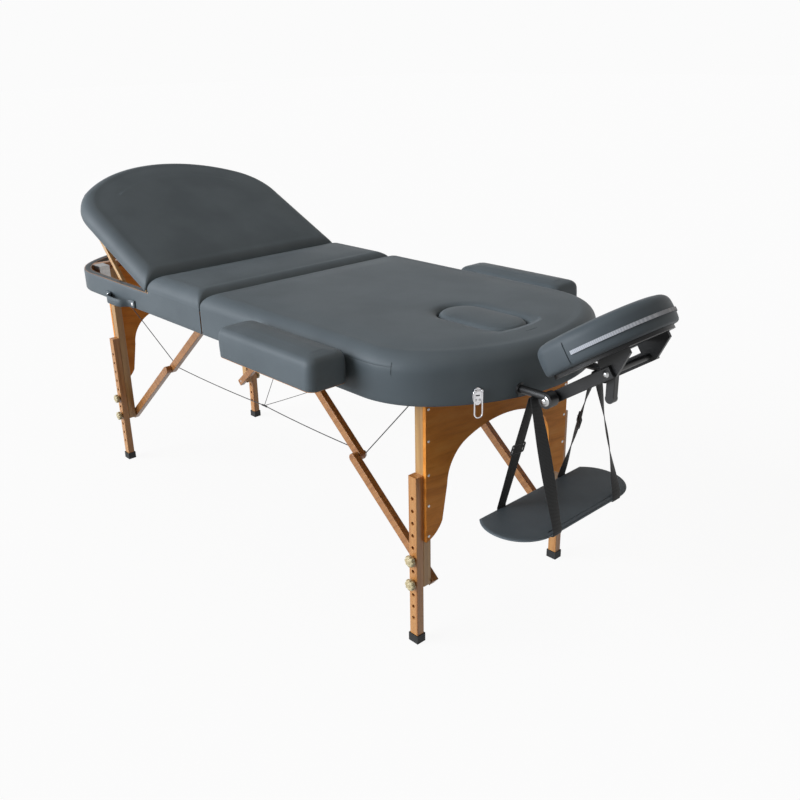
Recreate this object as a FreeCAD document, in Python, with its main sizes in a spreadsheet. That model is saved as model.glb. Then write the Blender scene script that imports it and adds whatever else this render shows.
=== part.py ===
import FreeCAD, Part
import math
import os
import re

# Portable massage table that folds in the middle: two oval halves on braced folding legs,
# a tilting backrest, two armrests, and a tilting face cradle that carries an arm sling.
# Millimetres. Z is up from the floor, X runs from the foot end to the face cradle.
# Lengths along X are measured from the fold line, which stands at fold_x.

driving = {
    # Table top
    "fold_x": (-121.3, "fold line, from the origin"),
    "half_length": (906.0, "fold line to the tip of the oval end"),
    "table_width": (700.0, "across the side bands"),
    "end_length": (260.0, "length of the rounded end"),
    "corner_radius": (205.0, "radius where the straight side turns into the end"),
    "rail_bottom": (632.0, "height of the rails' underside"),
    "rail_depth": (60.0, "height of the rails"),
    "rail_wall": (20.0, "thickness of the rails"),
    "band_thick": (2.0, "vinyl on the rails"),
    "deck_thick": (4.0, "plywood under the padding"),
    "fold_gap": (1.5, "each half to the fold line"),
    "seat_gap": (0.3, "clearance between pieces that move past each other"),
    "pad_thick": (49.0, "padding at its crown"),
    "pad_edge": (40.0, "rounding of the padding's edge"),
    "pad_crown": (3.0, "rise of the padding inside its rounded edge"),
    "pad_run": (70.0, "width over which the crown rises"),
    "pad_draw": (4.0, "how far the padding's lower edge is drawn in"),
    # Backrest and its prop
    "middle_length": (287.0, "fold line to the backrest hinge"),
    "back_gap": (6.0, "padding to the hinge line, on each side"),
    "board_gap": (4.0, "boards to the hinge line, on each side"),
    "back_tilt": (24.2, "backrest above flat, degrees"),
    "back_pin": (1.5, "radius of the backrest hinge pin"),
    "back_knuckle": (3.0, "outer radius of the backrest hinge"),
    "back_hinge_long": (40.0, "length of one hinge knuckle"),
    "back_hinge_y": (200.0, "backrest hinges, from the middle"),
    "prop_reach": (405.0, "backrest hinge to the prop's pivot"),
    "prop_long": (271.0, "prop, pivot to foot"),
    "prop_lean": (22.0, "prop below the board, degrees"),
    "prop_wide": (14.0, "prop, across its depth"),
    "prop_side": (37.0, "side of the table to the prop's sides"),
    "prop_pin": (3.0, "radius of the prop's pins"),
    "prop_bar": (6.0, "radius of the prop's cross bar"),
    "prop_thick": (12.0, "prop, along Y"),
    "prop_drop": (8.0, "prop pivot below the board"),
    "rack_wide": (25.0, "prop rack along Y"),
    "rack_top": (648.0, "height of the prop rack"),
    "rack_start": (330.0, "rack's end nearest the fold"),
    "rack_end": (640.0, "rack's end nearest the foot"),
    # Legs
    "leg_inset": (181.0, "tip of the oval end to the leg's middle"),
    "leg_size": (26.0, "leg along X"),
    "upper_wide": (24.0, "upper leg along Y"),
    "slide_wide": (22.0, "sliding leg along Y"),
    "leg_side": (72.0, "side of the table to the sliding leg's outer face"),
    "leg_hinge_z": (664.0, "height of the leg hinge"),
    "leg_pin": (5.0, "radius of the leg hinge pin"),
    "pin_fit": (0.05, "running clearance round a pin"),
    "edge_ease": (2.0, "rounding of wooden edges"),
    "upper_bottom": (150.0, "underside of the upper leg"),
    "slide_top": (441.0, "top of the sliding leg"),
    "slide_bottom": (8.0, "bottom of the sliding leg"),
    "hole_pitch": (31.8, "distance between height holes"),
    "hole_count": (11.0, "height holes in a sliding leg"),
    "hole_first": (54.0, "sliding leg's top to the first hole"),
    "hole_radius": (4.5, "radius of a height hole"),
    "knob_high_hole": (5.0, "holes above the upper knob"),
    "knob_low_hole": (7.0, "holes above the lower knob"),
    "knob_radius": (14.5, "star knob"),
    "knob_flute": (3.0, "radius of a flute in the knob's rim"),
    "knob_flutes": (8.0, "flutes round the knob"),
    "knob_thick": (16.0, "star knob along Y"),
    "stud_radius": (3.95, "knob's stud"),
    "stud_bore": (4.0, "hole for the stud in the upper leg"),
    "stud_depth": (12.0, "knob's stud inside the upper leg"),
    "foot_wall": (2.0, "rubber foot round the leg"),
    "foot_high": (22.0, "rubber foot"),
    # Arch panel between the legs
    "arch_thick": (9.0, "arch panel along X"),
    "arch_above": (8.0, "panel above the leg hinge"),
    "arch_toe_z": (273.0, "panel's lowest corner"),
    "arch_knee_y": (203.0, "knee of the inner edge, from the middle"),
    "arch_knee_z": (312.0, "knee of the inner edge"),
    "arch_waist_y": (187.0, "waist of the inner edge, from the middle"),
    "arch_waist_z": (400.0, "waist of the inner edge"),
    "arch_turn_y": (120.0, "end of the inner edge's curve, from the middle"),
    "arch_turn_z": (494.0, "end of the inner edge's curve"),
    "arch_crown_z": (516.0, "underside of the panel in the middle"),
    "arch_toe_bow": (0.12, "bow of the panel's toe, as a share of its size"),
    "arch_waist_bow": (0.66, "place of the bend above the waist, as a share of its size"),
    # Hangers and braces
    "beam_gap": (28.0, "leg middle to the cross beam"),
    "beam_wide": (20.0, "cross beam along X"),
    "hanger_wide": (36.0, "leg hanger along X, inside the beam"),
    "hanger_thick": (34.0, "leg hanger along Y"),
    "hanger_drop": (16.0, "hanger below its pin"),
    "brace_thick": (18.0, "brace along Y"),
    "brace_wide": (24.0, "brace across"),
    "brace_gap": (1.0, "between a brace and the next piece along Y"),
    "brace_leg_reach": (506.0, "leg hinge to the lower brace's bolt"),
    "brace_rail_reach": (595.0, "leg hinge to the upper brace's pin"),
    "brace_tail": (16.0, "lower brace past its bolt"),
    "brace_pin": (4.0, "radius of the brace pins"),
    "bolt_depth": (10.0, "lower brace's bolt inside the upper leg"),
    "brace_block": (26.0, "brace hanger along X and Y"),
    "elbow_bolt": (9.0, "radius of the elbow bolt's head"),
    "elbow_head": (5.0, "height of the elbow bolt's head"),
    # Fold hinges
    "hinge_radius": (5.0, "fold hinge knuckle"),
    "hinge_pin": (2.5, "radius of the fold hinge pin"),
    "hinge_drop": (5.0, "hinge line below the rails"),
    "hinge_leaf": (2.0, "thickness of a hinge leaf"),
    "hinge_reach": (38.0, "hinge leaf along X"),
    "hinge_long": (30.0, "length of one hinge knuckle"),
    "hinge_side": (80.0, "side of the table to the fold hinges' middle"),
    # Armrests
    "arm_start": (263.0, "armrest's end nearest the fold"),
    "arm_long": (357.0, "armrest along X"),
    "arm_wide": (105.0, "armrest along Y"),
    "arm_gap": (10.0, "side band to the armrest"),
    "arm_bottom": (662.0, "underside of the armrest"),
    "arm_base": (12.0, "armrest board"),
    "arm_pad": (64.0, "armrest padding"),
    "arm_edge": (20.0, "rounding of the armrest's edge"),
    "arm_corner": (22.0, "corner radius of the armrest"),
    "arm_crown": (4.0, "crown of the armrest"),
    "arm_run": (6.0, "width over which the armrest's crown rises"),
    "arm_draw": (2.0, "how far the armrest's lower edge is drawn in"),
    "arm_peg": (9.0, "radius of an armrest peg"),
    "arm_peg_inset": (45.0, "pegs, from the armrest's ends"),
    "arm_peg_drop": (6.0, "peg middle below the armrest board"),
    "arm_peg_short": (26.0, "pegs, from the armrest's outer edge"),
    # Face plug
    "plug_x": (678.0, "middle of the face hole"),
    "plug_long": (234.0, "face plug along X"),
    "plug_wide": (128.0, "face plug along Y"),
    "plug_gap": (2.0, "face plug to its hole"),
    "plug_proud": (1.0, "face plug above the pad"),
    "plug_edge": (16.0, "rounding of the plug's edge"),
    "plug_draw": (3.0, "how far the plug's lower edge is drawn in"),
    # Face cradle
    "peg_y": (112.0, "cradle pegs, from the middle"),
    "peg_z": (650.0, "height of the cradle pegs"),
    "peg_radius": (9.0, "cradle peg"),
    "peg_fit": (0.3, "clearance round a wooden peg or a sleeve's bore"),
    "sleeve_radius": (15.0, "socket sleeve"),
    "sleeve_in": (60.0, "socket sleeve behind the end's tip"),
    "sleeve_mouth": (14.0, "socket sleeve's mouth behind the end's tip"),
    "yoke_out": (52.0, "cradle pivot past the end's tip"),
    "yoke_z": (642.0, "height of the cradle pivot"),
    "yoke_disc": (17.0, "radius of the yoke's pivot discs"),
    "yoke_thick": (25.0, "pivot disc along Y"),
    "yoke_in": (7.0, "pivot disc's middle inside the peg's line"),
    "cradle_rod": (7.0, "radius of the cradle's cross rods"),
    "cradle_tilt": (34.2, "cradle above flat, degrees"),
    "arm_reach": (144.0, "cradle pivot to its elbow"),
    "arm_in": (8.5, "cradle arm inside the pivot disc"),
    "arm_bar": (26.0, "cradle arm across"),
    "arm_bar_thick": (8.0, "cradle arm along Y"),
    "elbow_below": (38.6, "cushion's underside to the elbow"),
    "elbow_along": (34.2, "cushion's middle to the elbow"),
    "plate_thick": (8.0, "cradle plate"),
    "plate_inset": (14.0, "cradle plate inside the cushion's outline"),
    "bracket_thick": (8.0, "cradle bracket along Y"),
    "bracket_end": (100.0, "cushion's middle to the bracket's tip"),
    "cushion_radius": (153.0, "outer radius of the horseshoe"),
    "cushion_hole": (68.0, "inner radius of the horseshoe"),
    "cushion_arm": (28.0, "straight part of the horseshoe's arms"),
    "cushion_thick": (70.0, "horseshoe cushion"),
    "cushion_edge": (22.0, "rounding of the cushion's edge"),
    "cushion_crown": (3.0, "crown of the cushion"),
    "cushion_draw": (3.0, "how far the cushion's lower edge is drawn in"),
    "lever_long": (68.0, "cam lever"),
    "lever_wide": (20.0, "cam lever across"),
    "lever_thick": (16.0, "cam lever along Y"),
    "lever_y": (58.0, "cam lever, from the middle"),
    # Sling shelf
    "sling_out": (19.0, "sling past the end's tip"),
    "shelf_top": (351.0, "height of the sling shelf"),
    "shelf_thick": (8.0, "sling shelf"),
    "shelf_deep": (155.0, "sling shelf along X"),
    "shelf_back": (372.0, "length of the shelf's back edge"),
    "shelf_wide": (428.0, "shelf at its widest"),
    "shelf_front": (244.0, "length of the shelf's front edge"),
    "shelf_edge": (3.5, "rounding of the shelf's edge"),
    "shelf_draw": (1.5, "how far the shelf's lower edge is drawn in"),
    "shelf_crown": (1.0, "crown of the shelf"),
    "strap_wide": (30.0, "sling webbing"),
    "strap_thick": (2.5, "thickness of the webbing"),
    "loop_gap": (0.8, "webbing loop to its peg"),
    "loop_wide": (6.0, "webbing loop along the peg"),
    # Latches and handle
    "latch_y": (207.0, "latches, from the middle"),
    "latch_z": (650.0, "height of the latch plates' middle"),
    "latch_wide": (24.0, "latch plate across"),
    "latch_high": (40.0, "latch plate"),
    "latch_thick": (3.0, "latch plate"),
    "latch_gap": (0.3, "latch plate to the band"),
    "bail_wire": (1.6, "radius of the bail's wire"),
    "bail_long": (60.0, "bail"),
    "bail_wide": (17.0, "bail across"),
    "bail_hole": (3.4, "ears of the latch: radius round the wire"),
    "bail_sink": (1.0, "ears let into the latch plate"),
    "handle_start": (362.0, "handle's end nearest the fold"),
    "handle_long": (178.0, "carry handle"),
    "handle_wide": (23.0, "strap of the handle"),
    "handle_thick": (5.0, "thickness of the handle"),
    "handle_bow": (26.0, "finger room behind the handle"),
    "handle_z": (633.0, "height of the handle's lower edge"),
    "handle_tab": (24.0, "length of the handle's fixed ends"),
    # Cables
    "cable_radius": (1.3, "steel cable"),
    "cord_radius": (0.9, "cross cord"),
    "cable_gap": (3.0, "cable to the elbow bolts and the legs"),
    "cable_bend": (14.0, "cable round an elbow"),
    "cable_top_z": (620.0, "cable's end on the leg"),
    "ferrule_y": (170.0, "ferrules, from the middle"),
    "ferrule_z": (375.0, "height of the ferrules"),
    "ferrule_x": (0.0, "ferrules, from the fold line"),
    "ferrule_radius": (3.5, "ferrule round the cable"),
    "ferrule_long": (12.0, "ferrule along the cable"),
    "lift_y": (43.0, "lifting cords' upper ends, from the middle"),
}

doc = FreeCAD.newDocument("massage_table")
sheet = doc.addObject("Spreadsheet::Sheet", "Sizes")
for row, (alias, (value, note)) in enumerate(driving.items(), 1):
    sheet.set(f"A{row}", note)
    sheet.set(f"B{row}", str(value))
    sheet.setAlias(f"B{row}", alias)
doc.recompute()


class Sizes:
    pass


size = Sizes()
for alias in driving:
    setattr(size, alias, float(sheet.get(alias)))

vector = FreeCAD.Vector
nodes = {}
ends = {"head": 1, "foot": -1}
hands = {"near": -1, "far": 1}


def full(text):
    # A formula in plain size names, with each name led by the sheet's own.
    return re.sub(r"[a-z][a-z_]*", lambda word: f"Sizes.{word.group()}", str(text))


def keep(label, piece):
    piece.Label = label
    nodes[label] = piece
    return piece


def flipped(span, sign):
    # A span of two formulas, mirrored about zero for a negative sign.
    low, high = span
    return (low, high) if sign > 0 else (f"-({high})", f"-({low})")


def block(name, x_span, y_span, z_span):
    piece = doc.addObject("Part::Box", name)
    spans = (("Length", "x", x_span), ("Width", "y", y_span), ("Height", "z", z_span))
    for edge, axis, (low, high) in spans:
        piece.setExpression(edge, full(f"({high}) - ({low})"))
        start = f"fold_x + ({low})" if axis == "x" else low
        piece.setExpression(f"Placement.Base.{axis}", full(start))
    return piece


def rod(name, axis, radius, span, across):
    # A round bar along axis "x" or "y"; across holds its place on the other two axes.
    piece = doc.addObject("Part::Cylinder", name)
    low, high = span
    piece.setExpression("Radius", full(radius))
    piece.setExpression("Height", full(f"({high}) - ({low})"))
    if axis == "x":
        piece.Placement.Rotation = FreeCAD.Rotation(vector(0, 1, 0), 90)
        places = (f"fold_x + ({low})", across[0], across[1])
    else:
        piece.Placement.Rotation = FreeCAD.Rotation(vector(1, 0, 0), -90)
        places = (f"fold_x + ({across[0]})", low, across[1])
    for letter, place in zip("xyz", places):
        piece.setExpression(f"Placement.Base.{letter}", full(place))
    return piece


def joined(name, pieces):
    piece = doc.addObject("Part::MultiFuse", name)
    piece.Shapes = pieces
    return piece


def set_of(name, pieces):
    piece = doc.addObject("Part::Compound", name)
    piece.Links = pieces
    return piece


def less(name, base, tools):
    piece = doc.addObject("Part::Cut", name)
    piece.Base = base
    piece.Tool = tools[0] if len(tools) == 1 else joined(f"{name}_tools", tools)
    return piece


def placed(name, shape):
    # A shape drawn from the fold line, moved to its place.
    piece = doc.addObject("Part::Feature", name)
    piece.Shape = shape
    move = FreeCAD.Placement(vector(size.fold_x, 0, 0), FreeCAD.Rotation())
    piece.Placement = move.multiply(shape.Placement)
    return piece


def line(start, end):
    return Part.LineSegment(vector(*start), vector(*end)).toShape()


def arc(start, middle, end):
    return Part.Arc(vector(*start), vector(*middle), vector(*end)).toShape()


def turned(point, centre, degrees):
    # A point of the XZ plane turned about centre, the +X side rising for positive angles.
    angle = math.radians(degrees)
    dx = point[0] - centre[0]
    dz = point[1] - centre[1]
    x = centre[0] + dx * math.cos(angle) - dz * math.sin(angle)
    z = centre[1] + dx * math.sin(angle) + dz * math.cos(angle)
    return x, z


# Plan of one half: straight sides, rounded corners and a wide arc at the end.
corner_y = size.table_width / 2 - size.corner_radius
straight_end = size.half_length - size.end_length
end_radius = (size.end_length ** 2 + corner_y ** 2 - size.corner_radius ** 2) / (
    2 * (size.end_length - size.corner_radius)
)
end_centre = size.half_length - end_radius
arc_angle = math.atan2(corner_y, straight_end - end_centre)


def half_plan(side, root, inset, z):
    # Outline of a half from x = root outwards, set in from the table's edge.
    half_wide = size.table_width / 2 - inset
    corner = size.corner_radius - inset
    big = end_radius - inset
    meet = (end_centre + big * math.cos(arc_angle), big * math.sin(arc_angle))
    middle_angle = (math.pi / 2 + arc_angle) / 2
    middle = (straight_end + corner * math.cos(middle_angle), corner_y + corner * math.sin(middle_angle))

    def at(x, y):
        return side * x, y, z

    tip = at(end_centre + big, 0)
    edges = [
        line(at(root, -half_wide), at(straight_end, -half_wide)),
        arc(at(straight_end, -half_wide), at(middle[0], -middle[1]), at(meet[0], -meet[1])),
        arc(at(meet[0], -meet[1]), tip, at(meet[0], meet[1])),
        arc(at(meet[0], meet[1]), at(*middle), at(straight_end, half_wide)),
        line(at(straight_end, half_wide), at(root, half_wide)),
        line(at(root, half_wide), at(root, -half_wide)),
    ]
    return Part.Wire(edges)


def rectangle_plan(x_span, y_span, corner, inset, z):
    low_x, high_x = x_span[0] + inset, x_span[1] - inset
    low_y, high_y = y_span[0] + inset, y_span[1] - inset
    bend = corner * (1 - math.sqrt(0.5))
    edges = []
    corners = (
        ((low_x, low_y), (0, 1), (1, 0)),
        ((high_x, low_y), (-1, 0), (0, 1)),
        ((high_x, high_y), (0, -1), (-1, 0)),
        ((low_x, high_y), (1, 0), (0, -1)),
    )
    previous = None
    first = None
    for (x, y), (in_x, in_y), (out_x, out_y) in corners:
        start = (x + corner * in_x, y + corner * in_y, z)
        end = (x + corner * out_x, y + corner * out_y, z)
        inward = (x + bend * (in_x + out_x), y + bend * (in_y + out_y), z)
        if previous:
            edges.append(line(previous, start))
        edges.append(arc(start, inward, end))
        first = first or start
        previous = end
    edges.append(line(previous, first))
    return Part.Wire(edges)


def stadium_plan(middle_x, long_side, wide_side, inset, z):
    radius = wide_side / 2 - inset
    run = (long_side - wide_side) / 2
    slant = radius * math.sqrt(0.5)
    edges = [line((middle_x - run, -radius, z), (middle_x + run, -radius, z))]
    for sign in (1, -1):
        centre = middle_x + sign * run
        edges.append(arc((centre, -sign * radius, z), (centre + sign * slant, -sign * slant, z),
                         (centre + sign * radius, 0, z)))
        edges.append(arc((centre + sign * radius, 0, z), (centre + sign * slant, sign * slant, z),
                         (centre, sign * radius, z)))
        if sign > 0:
            edges.append(line((centre, radius, z), (middle_x - run, radius, z)))
    return Part.Wire(edges)


def horseshoe_plan(inset, z):
    # Closed end towards +X, arms towards -X, round about the middle of the bend.
    outer = size.cushion_radius - inset
    inner = size.cushion_hole + inset
    arm = size.cushion_arm
    tip = (outer - inner) / 2
    middle = (outer + inner) / 2
    edges = []

    def quarter(centre, radius, start, end):
        angles = (start, (start + end) / 2, end)
        points = [(centre[0] + radius * math.cos(math.radians(angle)),
                   centre[1] + radius * math.sin(math.radians(angle)), z) for angle in angles]
        edges.append(arc(*points))

    edges.append(line((-arm, -outer, z), (0, -outer, z)))
    quarter((0, 0), outer, -90, 0)
    quarter((0, 0), outer, 0, 90)
    edges.append(line((0, outer, z), (-arm, outer, z)))
    quarter((-arm, middle), tip, 90, 180)
    quarter((-arm, middle), tip, 180, 270)
    edges.append(line((-arm, inner, z), (0, inner, z)))
    quarter((0, 0), inner, 90, 0)
    quarter((0, 0), inner, 0, -90)
    edges.append(line((0, -inner, z), (-arm, -inner, z)))
    quarter((-arm, -middle), tip, 90, 180)
    quarter((-arm, -middle), tip, 180, 270)
    return Part.Wire(edges)


def prism(wire, height):
    return Part.Face(wire).extrude(vector(0, 0, height))


def pad_rows(thick, edge, draw, crown, run):
    # Insets and heights up a padded side: drawn in below, rounded over, then crowned.
    shoulder = thick - crown - edge
    rows = [(draw, 0.0), (0.0, shoulder)]
    for degrees in (30, 60, 90):
        angle = math.radians(degrees)
        rows.append((edge * (1 - math.cos(angle)), shoulder + edge * math.sin(angle)))
    rows.append((edge + run, thick))
    return rows


def cushion(plan, rows, base):
    return Part.makeLoft([plan(inset, base + height) for inset, height in rows], True, True)


def bar(start, end, wide, y_low, y_high, tail_start, tail_end):
    # A straight wooden bar in the XZ plane, with square ends past its two pivots.
    dx = end[0] - start[0]
    dz = end[1] - start[1]
    reach = math.hypot(dx, dz)
    along = (dx / reach, dz / reach)
    side = (-along[1] * wide / 2, along[0] * wide / 2)
    first = (start[0] - along[0] * tail_start, start[1] - along[1] * tail_start)
    last = (end[0] + along[0] * tail_end, end[1] + along[1] * tail_end)
    corners = [
        (first[0] + side[0], first[1] + side[1]),
        (last[0] + side[0], last[1] + side[1]),
        (last[0] - side[0], last[1] - side[1]),
        (first[0] - side[0], first[1] - side[1]),
    ]
    points = [vector(x, y_low, z) for x, z in corners]
    solid = Part.Face(Part.makePolygon(points + points[:1])).extrude(vector(0, y_high - y_low, 0))
    grain = vector(along[0], 0, along[1])
    long_edges = [edge for edge in solid.Edges if abs(edge.tangentAt(edge.FirstParameter).dot(grain)) > 0.99]
    return solid.makeFillet(size.edge_ease, long_edges)


def cross_pin(point, radius, y_low, y_high):
    return Part.makeCylinder(radius, y_high - y_low, vector(point[0], y_low, point[1]), vector(0, 1, 0))


def round_end(point, wide, y_low, y_high):
    # The half-round end of a bar, with its rims eased as the bar's edges are.
    disc = cross_pin(point, wide / 2, y_low, y_high)
    rims = [edge for edge in disc.Edges if abs(edge.Length - math.pi * wide) < size.edge_ease]
    return disc.makeFillet(size.edge_ease, rims)


def y_span(hand, low, high):
    return (low, high) if hand > 0 else (-high, -low)


# Frames, decks, bands and padding
rail_top = size.rail_bottom + size.rail_depth
deck_top = rail_top + size.deck_thick
outer_half = size.table_width / 2
leg_x = size.half_length - size.leg_inset
leg_outer = outer_half - size.leg_side
prop_y = outer_half - size.prop_side
sleeve_hole = size.sleeve_radius + size.pin_fit
peg_bore = size.peg_radius + size.peg_fit
arm_bore = size.arm_peg + size.peg_fit
arm_peg_z = size.arm_bottom - size.arm_peg_drop
arm_peg_places = (size.arm_start + size.arm_peg_inset, size.arm_start + size.arm_long - size.arm_peg_inset)


def frame_ring(side):
    outer = prism(half_plan(side, size.fold_gap, size.band_thick, size.rail_bottom), size.rail_depth)
    inner_inset = size.band_thick + size.rail_wall
    inner_root = size.fold_gap + size.rail_wall
    inner = prism(half_plan(side, inner_root, inner_inset, size.rail_bottom), size.rail_depth)
    beam_low = leg_x + size.beam_gap
    beam_x = beam_low if side > 0 else -beam_low - size.beam_wide
    beam = Part.makeBox(size.beam_wide, size.table_width, size.rail_depth,
                        vector(beam_x, -outer_half, size.rail_bottom))
    return outer.cut(inner).fuse(beam.common(outer)).removeSplitter()


def side_band(side, height):
    outer = prism(half_plan(side, size.fold_gap, 0, size.rail_bottom), height)
    inner = prism(half_plan(side, size.fold_gap - size.band_thick, size.band_thick, size.rail_bottom), height)
    return outer.cut(inner)


def peg_holes(shape, sleeve_only):
    for hand in hands.values():
        sleeve_start = size.half_length - size.sleeve_in
        sleeve_base = vector(sleeve_start, hand * size.peg_y, size.peg_z)
        tool = Part.makeCylinder(sleeve_hole, size.sleeve_in * 2, sleeve_base, vector(1, 0, 0))
        shape = shape.cut(tool)
        if not sleeve_only:
            bore = Part.makeCylinder(peg_bore, size.half_length - leg_x,
                                     vector(leg_x, hand * size.peg_y, size.peg_z), vector(1, 0, 0))
            shape = shape.cut(bore)
        for place in arm_peg_places:
            inner_y = outer_half - size.band_thick - size.rail_wall - size.rail_wall
            span = y_span(hand, inner_y, outer_half + size.rail_wall)
            shape = shape.cut(cross_pin((place, arm_peg_z), arm_bore, *span))
    return shape


def plug_hole(base, height):
    gap = size.plug_gap
    return prism(stadium_plan(size.plug_x, size.plug_long + 2 * gap, size.plug_wide + 2 * gap, 0, base), height)


pad_profile = pad_rows(size.pad_thick, size.pad_edge, size.pad_draw, size.pad_crown, size.pad_run)
deck_height = size.rail_depth + size.deck_thick
head_plate = prism(half_plan(1, size.fold_gap, size.band_thick, rail_top), size.deck_thick)
keep("head_frame", placed("head_frame", peg_holes(frame_ring(1), False)))
keep("head_deck", placed("head_deck", head_plate.cut(plug_hole(rail_top, size.deck_thick))))
keep("head_side_band", placed("head_side_band", peg_holes(side_band(1, deck_height), True)))
head_padding = cushion(lambda inset, z: half_plan(1, size.fold_gap + inset, inset, z), pad_profile, deck_top)
keep("head_pad", placed("head_pad", head_padding.cut(plug_hole(deck_top, size.pad_thick))))

plug_thick = size.pad_thick + size.deck_thick + size.plug_proud
plug_rows = pad_rows(plug_thick, size.plug_edge, size.plug_draw, size.plug_proud, size.plug_edge)
plug_body = cushion(lambda inset, z: stadium_plan(size.plug_x, size.plug_long - 2 * inset,
                                                  size.plug_wide - 2 * inset, 0, z), plug_rows, rail_top)
keep("face_plug", placed("face_plug", plug_body))

# The foot half's rails also carry the racks for the backrest's prop
racks = []
rack_wall = outer_half - size.band_thick - size.rail_wall
for hand in hands.values():
    rack_y = y_span(hand, rack_wall - size.rack_wide, rack_wall)
    rack = Part.makeBox(size.rack_end - size.rack_start, size.rack_wide, size.rack_top - size.rail_bottom,
                        vector(-size.rack_end, rack_y[0], size.rail_bottom))
    racks.append(rack)
keep("foot_frame", placed("foot_frame", frame_ring(-1).fuse(racks).removeSplitter()))
keep("foot_side_band", placed("foot_side_band", side_band(-1, size.rail_depth)))
middle_end = size.middle_length - size.board_gap
middle_plate = Part.makeBox(middle_end - size.fold_gap, size.table_width - 2 * size.band_thick, size.deck_thick,
                            vector(-middle_end, size.band_thick - outer_half, rail_top))
keep("middle_deck", placed("middle_deck", middle_plate))
middle_span = (-(size.middle_length - size.back_gap), -size.fold_gap)
middle_padding = cushion(lambda inset, z: rectangle_plan(middle_span, (-outer_half, outer_half), size.pad_draw,
                                                         inset, z), pad_profile, deck_top)
keep("middle_pad", placed("middle_pad", middle_padding))

# Backrest, drawn flat and then raised about its hinge line
hinge_line = vector(-size.middle_length, 0, deck_top)


def raised(shape):
    return shape.rotate(hinge_line, vector(0, 1, 0), size.back_tilt)


board_root = size.middle_length + size.board_gap
board_low = rail_top + size.seat_gap
board = prism(half_plan(-1, board_root, size.band_thick, board_low), deck_top - board_low)
prop_pivot = (-(size.middle_length + size.prop_reach), board_low - size.prop_drop)
for hand in hands.values():
    low, high = y_span(hand, prop_y - size.prop_thick / 2, prop_y + size.prop_thick / 2)
    cheek_low, cheek_high = y_span(hand, prop_y - size.prop_thick * 1.5 - size.seat_gap,
                                   prop_y - size.prop_thick / 2 - size.seat_gap)
    cheek = Part.makeBox(size.prop_wide, cheek_high - cheek_low, size.prop_drop + size.prop_wide / 2,
                         vector(prop_pivot[0] - size.prop_wide / 2, cheek_low,
                                prop_pivot[1] - size.prop_wide / 2))
    pin = cross_pin(prop_pivot, size.prop_pin, min(low, cheek_low), max(high, cheek_high))
    board = board.fuse(cheek).fuse(pin)
keep("backrest_board", placed("backrest_board", raised(board)))
back_padding = cushion(lambda inset, z: half_plan(-1, size.middle_length + size.back_gap + inset, inset, z),
                       pad_profile, deck_top)
keep("backrest_pad", placed("backrest_pad", raised(back_padding)))

prop_foot_x = prop_pivot[0] + size.prop_long
props = []
for hand in hands.values():
    low, high = y_span(hand, prop_y - size.prop_thick / 2, prop_y + size.prop_thick / 2)
    stick = bar(prop_pivot, (prop_foot_x, prop_pivot[1]), size.prop_wide, low, high, 0, 0)
    stick = stick.fuse(round_end(prop_pivot, size.prop_wide, low, high))
    stick = stick.cut(cross_pin(prop_pivot, size.prop_pin + size.pin_fit, low, high))
    props.append(stick)
prop_bar = cross_pin((prop_foot_x - size.prop_long / 2, prop_pivot[1]), size.prop_bar, -prop_y, prop_y)
prop = props[0].fuse([props[1], prop_bar])
prop = prop.rotate(vector(prop_pivot[0], 0, prop_pivot[1]), vector(0, 1, 0), size.prop_lean)
keep("prop_stay", placed("prop_stay", raised(prop)))


# Legs: each end has two upper legs, one arch panel and two sliding legs
upper_outer = leg_outer - size.slide_wide - size.seat_gap
upper_inner = upper_outer - size.upper_wide
stud_heights = {
    "upper": "slide_top - hole_first - knob_high_hole * hole_pitch",
    "lower": "slide_top - hole_first - knob_low_hole * hole_pitch",
}
leg_text = "(half_length - leg_inset)"
leg_outer_text = "table_width / 2 - leg_side"
upper_outer_text = f"{leg_outer_text} - slide_wide - seat_gap"
upper_inner_text = f"{upper_outer_text} - upper_wide"
brace_inner_text = f"{upper_inner_text} - brace_gap - brace_thick"
bolt_z_text = "leg_hinge_z - brace_leg_reach"


def leg_box(name, side, hand, y_text, z_text):
    x_text = flipped((f"{leg_text} - leg_size / 2", f"{leg_text} + leg_size / 2"), side)
    return block(name, x_text, flipped(y_text, hand), z_text)


def eased(name, base):
    # The four upright edges of a leg, rounded.
    doc.recompute()
    rounded = doc.addObject("Part::Fillet", name)
    rounded.Base = base
    upright = []
    for index, edge in enumerate(base.Shape.Edges, 1):
        if abs(edge.tangentAt(edge.FirstParameter).z) > 0.99:
            upright.append((index, size.edge_ease, size.edge_ease))
    rounded.Edges = upright
    return rounded


def leg_bore(name, side, hand, radius, y_text, z_text):
    place = f"{side} * {leg_text}"
    return rod(name, "y", radius, flipped(y_text, hand), (place, z_text))


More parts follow.
